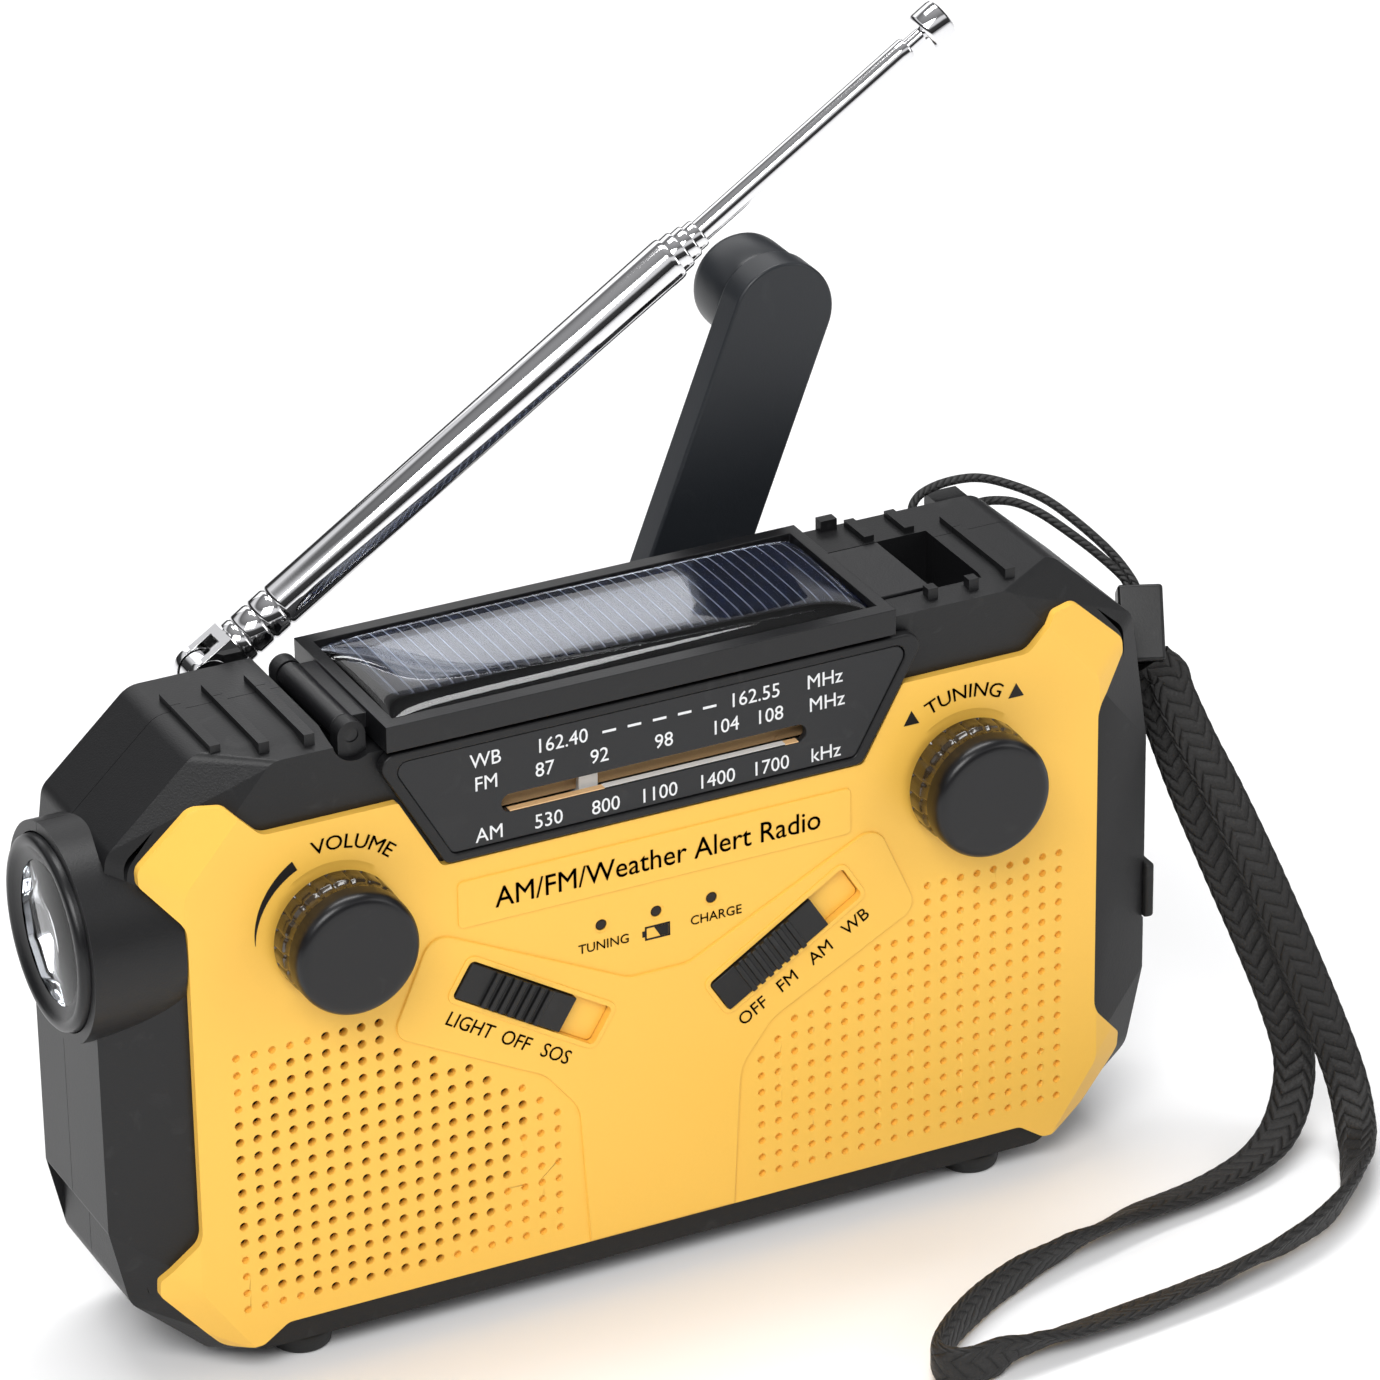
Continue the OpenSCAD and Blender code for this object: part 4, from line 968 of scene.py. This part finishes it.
class RADIO_OT_solar_lid(bpy.types.Operator):
    """Flip-up lid with its solar cell, fine lines and domed clear cover"""

    bl_idname = "radio.solar_lid"
    bl_label = "Solar lid"

    def execute(self, context):
        rounded_copy("solar_lid", "lid", "lid", 0.5, "lid_plastic", 3)
        low, high = (v * 1000 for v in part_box("solar_cell"))
        cell = link("cell_sheet", bevelled(cad_mesh("solar_cell"), 0.1), "lid", "solar_cell", finish("cell"))
        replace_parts(cell, "solar_cell")
        lines = context.scene.radio_sizes.cell_lines
        gap = (high.x - low.x) / (lines + 1)
        places = [(low.x + gap * (k + 1), (low.y + high.y) / 2, high.z + 0.02) for k in range(lines)]
        fine = repeated(places, "bar", {"Length": high.y - low.y - 1.2, "Width": 0.16, "Height": 0.06}, finish("cell_line"))
        link("cell_fingers", fine, "lid", None, finish("cell_line"))
        low, high = (v * 1000 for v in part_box("solar_cover"))
        bm = bmesh.new()
        across, deep = 120, 64
        mid, half_x, half_y = (low + high) / 2, (high.x - low.x) / 2, (high.y - low.y) / 2
        top = []
        for i in range(across + 1):
            row = []
            for j in range(deep + 1):
                u, v = -math.cos(math.pi * i / across), -math.cos(math.pi * j / deep)
                edge = (1 - abs(u) ** 12) * (1 - abs(v) ** 5)
                z = low.z + 0.3 + (high.z - low.z - 0.3) * max(edge, 0) ** 0.5 * (1 - 0.10 * u * u - 0.14 * v * v)
                row.append(bm.verts.new(metres(mid.x + u * half_x, mid.y + v * half_y, z)))
            top.append(row)
        under = [[bm.verts.new(Vector((p.co.x, p.co.y, (low.z + 0.02) * 0.001))) for p in row] for row in top]
        for i in range(across):
            for j in range(deep):
                bm.faces.new((top[i][j], top[i + 1][j], top[i + 1][j + 1], top[i][j + 1]))
                bm.faces.new((under[i][j], under[i][j + 1], under[i + 1][j + 1], under[i + 1][j]))
        for i in range(across):
            for j in (0, deep):
                bm.faces.new((top[i][j], top[i + 1][j], under[i + 1][j], under[i][j]))
        for j in range(deep):
            for i in (0, across):
                bm.faces.new((top[i][j], top[i][j + 1], under[i][j + 1], under[i][j]))
        bmesh.ops.recalc_face_normals(bm, faces=bm.faces)
        dome = from_bmesh(bm)
        smooth(dome, 50)
        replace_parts(link("clear_dome", dome, "lid", "clear_cover", finish("cover")), "solar_cover")
        return {"FINISHED"}


class RADIO_OT_flashlight(bpy.types.Operator):
    """Flashlight bezel, lens, faceted reflector and emitter"""

    bl_idname = "radio.flashlight"
    bl_label = "Flashlight"

    def execute(self, context):
        # heights run along +X from the outer face
        place = at(0, *LAMP_YZ) @ TOWARDS_RIGHT
        ring = [[11.3, -77.15], [13.6, -77.15], [13.6, -82.1], [13.45, -82.6], [13.1, -82.9], [12.6, -83.0], [12.1, -82.9], [11.7, -82.5],
                [10.0, -81.97], [11.2, -81.95]]
        bezel = placed(lathe(ring, 96, closed=True), place)
        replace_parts(link("lamp_bezel", bezel, "casing", "lid_plastic", finish("lid")), "flashlight_bezel")
        glass = placed(lathe([[0, -81.0], [10.6, -81.0], [10.9, -81.2], [10.9, -81.7], [10.6, -81.88], [0, -81.9]], 96), place)
        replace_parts(link("lamp_lens", glass, "casing", "clear_lens", finish("lens")), "flashlight_lens")
        facets = 12

        def scallop(r, h, t):
            return -0.035 * r * abs(math.sin(facets * t / 2)) if r > 3.2 else 0

        bowl = [[11.0, -80.9], [10.5, -80.9], [10.2, -79.6], [9.5, -78.0], [8.5, -76.2], [7.2, -74.3], [5.4, -72.4], [3.1, -70.7],
                [3.1, -70.1], [4.6, -70.7], [8.2, -73.4], [10.4, -77.2], [11.0, -79.2]]
        shell = placed(lathe(bowl, facets * 8, closed=True, ripple=scallop), place)
        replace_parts(link("lamp_reflector", shell, "casing", "reflector", finish("mirror")), "flashlight_reflector")
        led = placed(lathe([[0, -73.0], [0.8, -72.95], [1.6, -72.6], [2.1, -71.9], [2.2, -71.2], [2.2, -69.5], [8.4, -69.5], [8.5, -69.4],
                            [8.5, -68.7], [8.4, -68.6], [0, -68.6]], 48), place)
        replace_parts(link("lamp_emitter", led, "casing", "led", finish("emitter")), "flashlight_led")
        return {"FINISHED"}


class RADIO_OT_antenna(bpy.types.Operator):
    """Folding telescopic antenna with its swivel, fork, tube, sections and tip"""

    bl_idname = "radio.antenna"
    bl_label = "Antenna"

    def execute(self, context):
        place = antenna_axis()
        rounded_copy("antenna_swivel", "antenna_base", "chrome", 0.35, "antenna_chrome", 3)
        rounded_copy("antenna_knuckle", "antenna_arm", "chrome", 0.35, "antenna_chrome", 3)
        rounded_copy("antenna_pin", "antenna_arm", "chrome", 0.18, "antenna_chrome", 3)
        outer = [[3.1, 6.0], [3.28, 6.1], [3.3, 6.3], [3.3, 7.1], [3.22, 7.3], [3.04, 7.5], [3.22, 7.7], [3.3, 7.9], [3.3, 10.0],
                 [3.22, 10.25], [3.02, 10.5],
                 [3.22, 10.75], [3.3, 11.0], [3.3, 13.0], [3.22, 13.25], [3.02, 13.5], [3.22, 13.75], [3.3, 14.0],
                 [3.3, 84.2], [3.25, 84.7], [3.12, 84.95], [2.97, 85.0]]
        inner = [[2.95, 84.4], [3.0, 83.9], [3.0, 14], [2.8, 13.2], [2.8, 6.1]]
        tube = lathe(outer + inner, 48, closed=True)
        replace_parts(link("outer_tube", placed(tube, place), "antenna_arm", "antenna_chrome", finish("chrome")), "antenna_tube")
        ends = {2: (14, 86.8, 2.65), 3: (15, 88.5, 2.25), 4: (16, 90.1, 1.8), 5: (54, 128.2, 1.25)}
        for k, (start, end, bore) in ends.items():
            r = SECTION_RADII[k]
            rim = [[r - 0.1, start], [r, start + 0.1], [r, end - 1.5], [r, end - 0.35], [r - 0.08, end - 0.12], [r - 0.2, end]]
            body = lathe(rim + [[bore, end], [bore, start]], 40, closed=True)
            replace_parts(link(f"section_{k}_tube", placed(body, place), f"section_{k}", "antenna_chrome", finish("chrome")), f"antenna_section_{k}")
        tip = [[0, 58], [1.1, 58.1], [1.1, 130.75], [1.6, 130.92], [2.6, 130.95], [2.85, 131.2],
               [2.9, 131.5], [2.9, 134.0], [2.8, 134.5], [2.4, 134.8], [1.6, 134.9], [0, 134.9]]
        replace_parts(link("tip_rod", placed(lathe(tip, 40), place), "tip", "antenna_chrome", finish("chrome")), "antenna_tip")
        return {"FINISHED"}


class RADIO_OT_crank(bpy.types.Operator):
    """Fold-out crank: hub, arm and grip"""

    bl_idname = "radio.crank"
    bl_label = "Crank"

    def execute(self, context):
        rounded_copy("crank_hub", "crank", "crank", 0.45, "crank_plastic", 3)
        rounded_copy("crank_arm", "crank_arm", "crank", 0.9, "crank_plastic", 4)
        lean = math.radians(ARM_LEAN)
        x, z = HUB_XZ[0] + ARM_LENGTH * math.sin(lean), HUB_XZ[1] + ARM_LENGTH * math.cos(lean)
        grip = [[1.58, 27.4], [6.7, 27.4], [7.1, 27.6], [7.3, 28.1], [7.3, 34.6], [7.2, 35.5], [6.9, 36.1], [6.4, 36.5], [5.6, 36.7],
                [3.5, 36.7], [3.35, 36.55], [3.3, 35.5], [1.6, 35.45]]
        barrel = placed(lathe(grip, 72, closed=True), at(x, 0, z) @ TOWARDS_BACK)
        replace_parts(link("grip_barrel", barrel, "grip", "crank_plastic", finish("crank")), "crank_grip")
        return {"FINISHED"}


class RADIO_OT_insides(bpy.types.Operator):
    """Finishes of the design's own pieces that show as they are"""

    bl_idname = "radio.insides"
    bl_label = "Insides"

    def execute(self, context):
        slots = {row["node"]: row["material_slot"] for row in frame["record"]["subparts"]}
        for node, obj in NODES.items():
            if obj.hide_render:
                continue
            chosen = {"pointer_rack": "pointer", "lid_hinge_pin": "lid"}.get(node, SLOT_FINISH[slots[node]])
            obj.data.materials.clear()
            obj.data.materials.append(finish(chosen))
        return {"FINISHED"}


def soft_light(name, place, target, size, power):
    """A large area light aimed at a point."""
    data = bpy.data.lights.new(name, "AREA")
    data.shape = "RECTANGLE"
    data.size, data.size_y = size
    data.energy = power
    obj = bpy.data.objects.new(name, data)
    bpy.context.scene.collection.objects.link(obj)
    obj.location = place
    obj.rotation_mode = "QUATERNION"
    obj.rotation_quaternion = (Vector(target) - Vector(place)).to_track_quat("-Z", "Y")


class RADIO_OT_stage(bpy.types.Operator):
    """Pale floor, soft studio light and the camera"""

    bl_idname = "radio.stage"
    bl_label = "Stage"

    def execute(self, context):
        s = context.scene.radio_sizes
        bm = bmesh.new()
        bmesh.ops.create_grid(bm, x_segments=1, y_segments=1, size=6)
        floor = bpy.data.objects.new("floor", from_bmesh(bm))
        context.scene.collection.objects.link(floor)
        floor.data.materials.append(finish("floor"))
        middle = (0, 0, 0.06)
        soft_light("key", (-0.55, -0.75, 0.95), middle, (0.7, 0.5), s.key_light)
        soft_light("fill", (0.95, -0.75, 0.5), middle, (0.5, 0.7), s.key_light * 0.22)
        soft_light("top", (0.05, 0.25, 1.1), (0, 0, 0.1), (0.8, 0.35), s.key_light * 0.7)
        soft_light("sheen", (0.10, 0.86, 0.56), (-0.02, 0, 0.095), (0.72, 0.44), s.key_light * 0.1)
        world = bpy.data.worlds.new("studio")
        context.scene.world = world
        world.use_nodes = True
        n, w = world.node_tree.nodes, world.node_tree.links
        place, parts, ramp = n.new("ShaderNodeTexCoord"), n.new("ShaderNodeSeparateXYZ"), n.new("ShaderNodeValToRGB")
        w.new(place.outputs["Generated"], parts.inputs[0])
        w.new(parts.outputs["Z"], ramp.inputs[0])
        for k, (height, tone) in enumerate(((0.02, 0.03), (0.34, 0.06), (0.46, 0.85), (0.62, 0.95), (0.72, 0.16), (1.0, 0.5))):
            stop = ramp.color_ramp.elements[k] if k < 2 else ramp.color_ramp.elements.new(height)
            stop.position, stop.color = height, (tone, tone, tone * 1.02, 1)
        # the bands are only for reflections; the backdrop itself is plain and pale
        path, backdrop = n.new("ShaderNodeLightPath"), n.new("ShaderNodeMix")
        backdrop.data_type = "RGBA"
        w.new(path.outputs["Is Camera Ray"], backdrop.inputs[0])
        w.new(ramp.outputs[0], backdrop.inputs[6])
        backdrop.inputs[7].default_value = (0.95, 0.95, 0.95, 1)
        w.new(backdrop.outputs[2], n["Background"].inputs["Color"])
        n["Background"].inputs["Strength"].default_value = 0.9
        camera = bpy.data.cameras.new("camera")
        camera.lens, camera.sensor_width = 186.2436, 36
        camera.clip_start, camera.clip_end = 0.05, 20
        eye = bpy.data.objects.new("camera", camera)
        context.scene.collection.objects.link(eye)
        a, e = math.radians(s.view_turn), math.radians(s.view_rise)
        back = Vector((math.sin(a) * math.cos(e), -math.cos(a) * math.cos(e), math.sin(e)))
        eye.location = metres(6.5624, -13.7397, 88.0445) + back * 0.96
        eye.rotation_mode = "QUATERNION"
        eye.rotation_quaternion = (-back).to_track_quat("-Z", "Y") @ Quaternion((0, 0, 1), math.radians(-0.8456))
        context.scene.camera = eye
        context.scene.view_settings.view_transform = "Standard"
        return {"FINISHED"}


STEPS = ("stage", "lanyard", "casing", "front_panel", "lettering", "dial", "knobs",
         "switches", "solar_lid", "flashlight", "antenna", "crank", "insides")


class RADIO_PT_panel(bpy.types.Panel):
    """Sidebar list of the radio's pieces"""

    bl_idname = "RADIO_PT_panel"
    bl_label = "Emergency radio"
    bl_space_type = "VIEW_3D"
    bl_region_type = "UI"
    bl_category = "Radio"

    def draw(self, context):
        for group in (context.scene.radio_finishes, context.scene.radio_sizes):
            for name in group.bl_rna.properties.keys():
                if name not in ("rna_type", "name"):
                    self.layout.prop(group, name)
        for step in STEPS:
            self.layout.operator("radio." + step)


CLASSES = (
    RadioFinishes, RadioSizes, RADIO_OT_stage, RADIO_OT_lanyard, RADIO_OT_casing, RADIO_OT_front_panel, RADIO_OT_lettering, RADIO_OT_dial,
    RADIO_OT_knobs, RADIO_OT_switches, RADIO_OT_solar_lid, RADIO_OT_flashlight, RADIO_OT_antenna, RADIO_OT_crank, RADIO_OT_insides, RADIO_PT_panel,
)


def register():
    """Add the classes to Blender."""
    for c in CLASSES:
        bpy.utils.register_class(c)
    bpy.types.Scene.radio_finishes = bpy.props.PointerProperty(type=RadioFinishes)
    bpy.types.Scene.radio_sizes = bpy.props.PointerProperty(type=RadioSizes)


def unregister():
    """Take the classes out again."""
    del bpy.types.Scene.radio_finishes
    del bpy.types.Scene.radio_sizes
    for c in reversed(CLASSES):
        bpy.utils.unregister_class(c)


def main():
    """Make the radio."""
    register()
    for step in STEPS:
        getattr(bpy.ops.radio, step)()


if __name__ == "__main__":
    main()
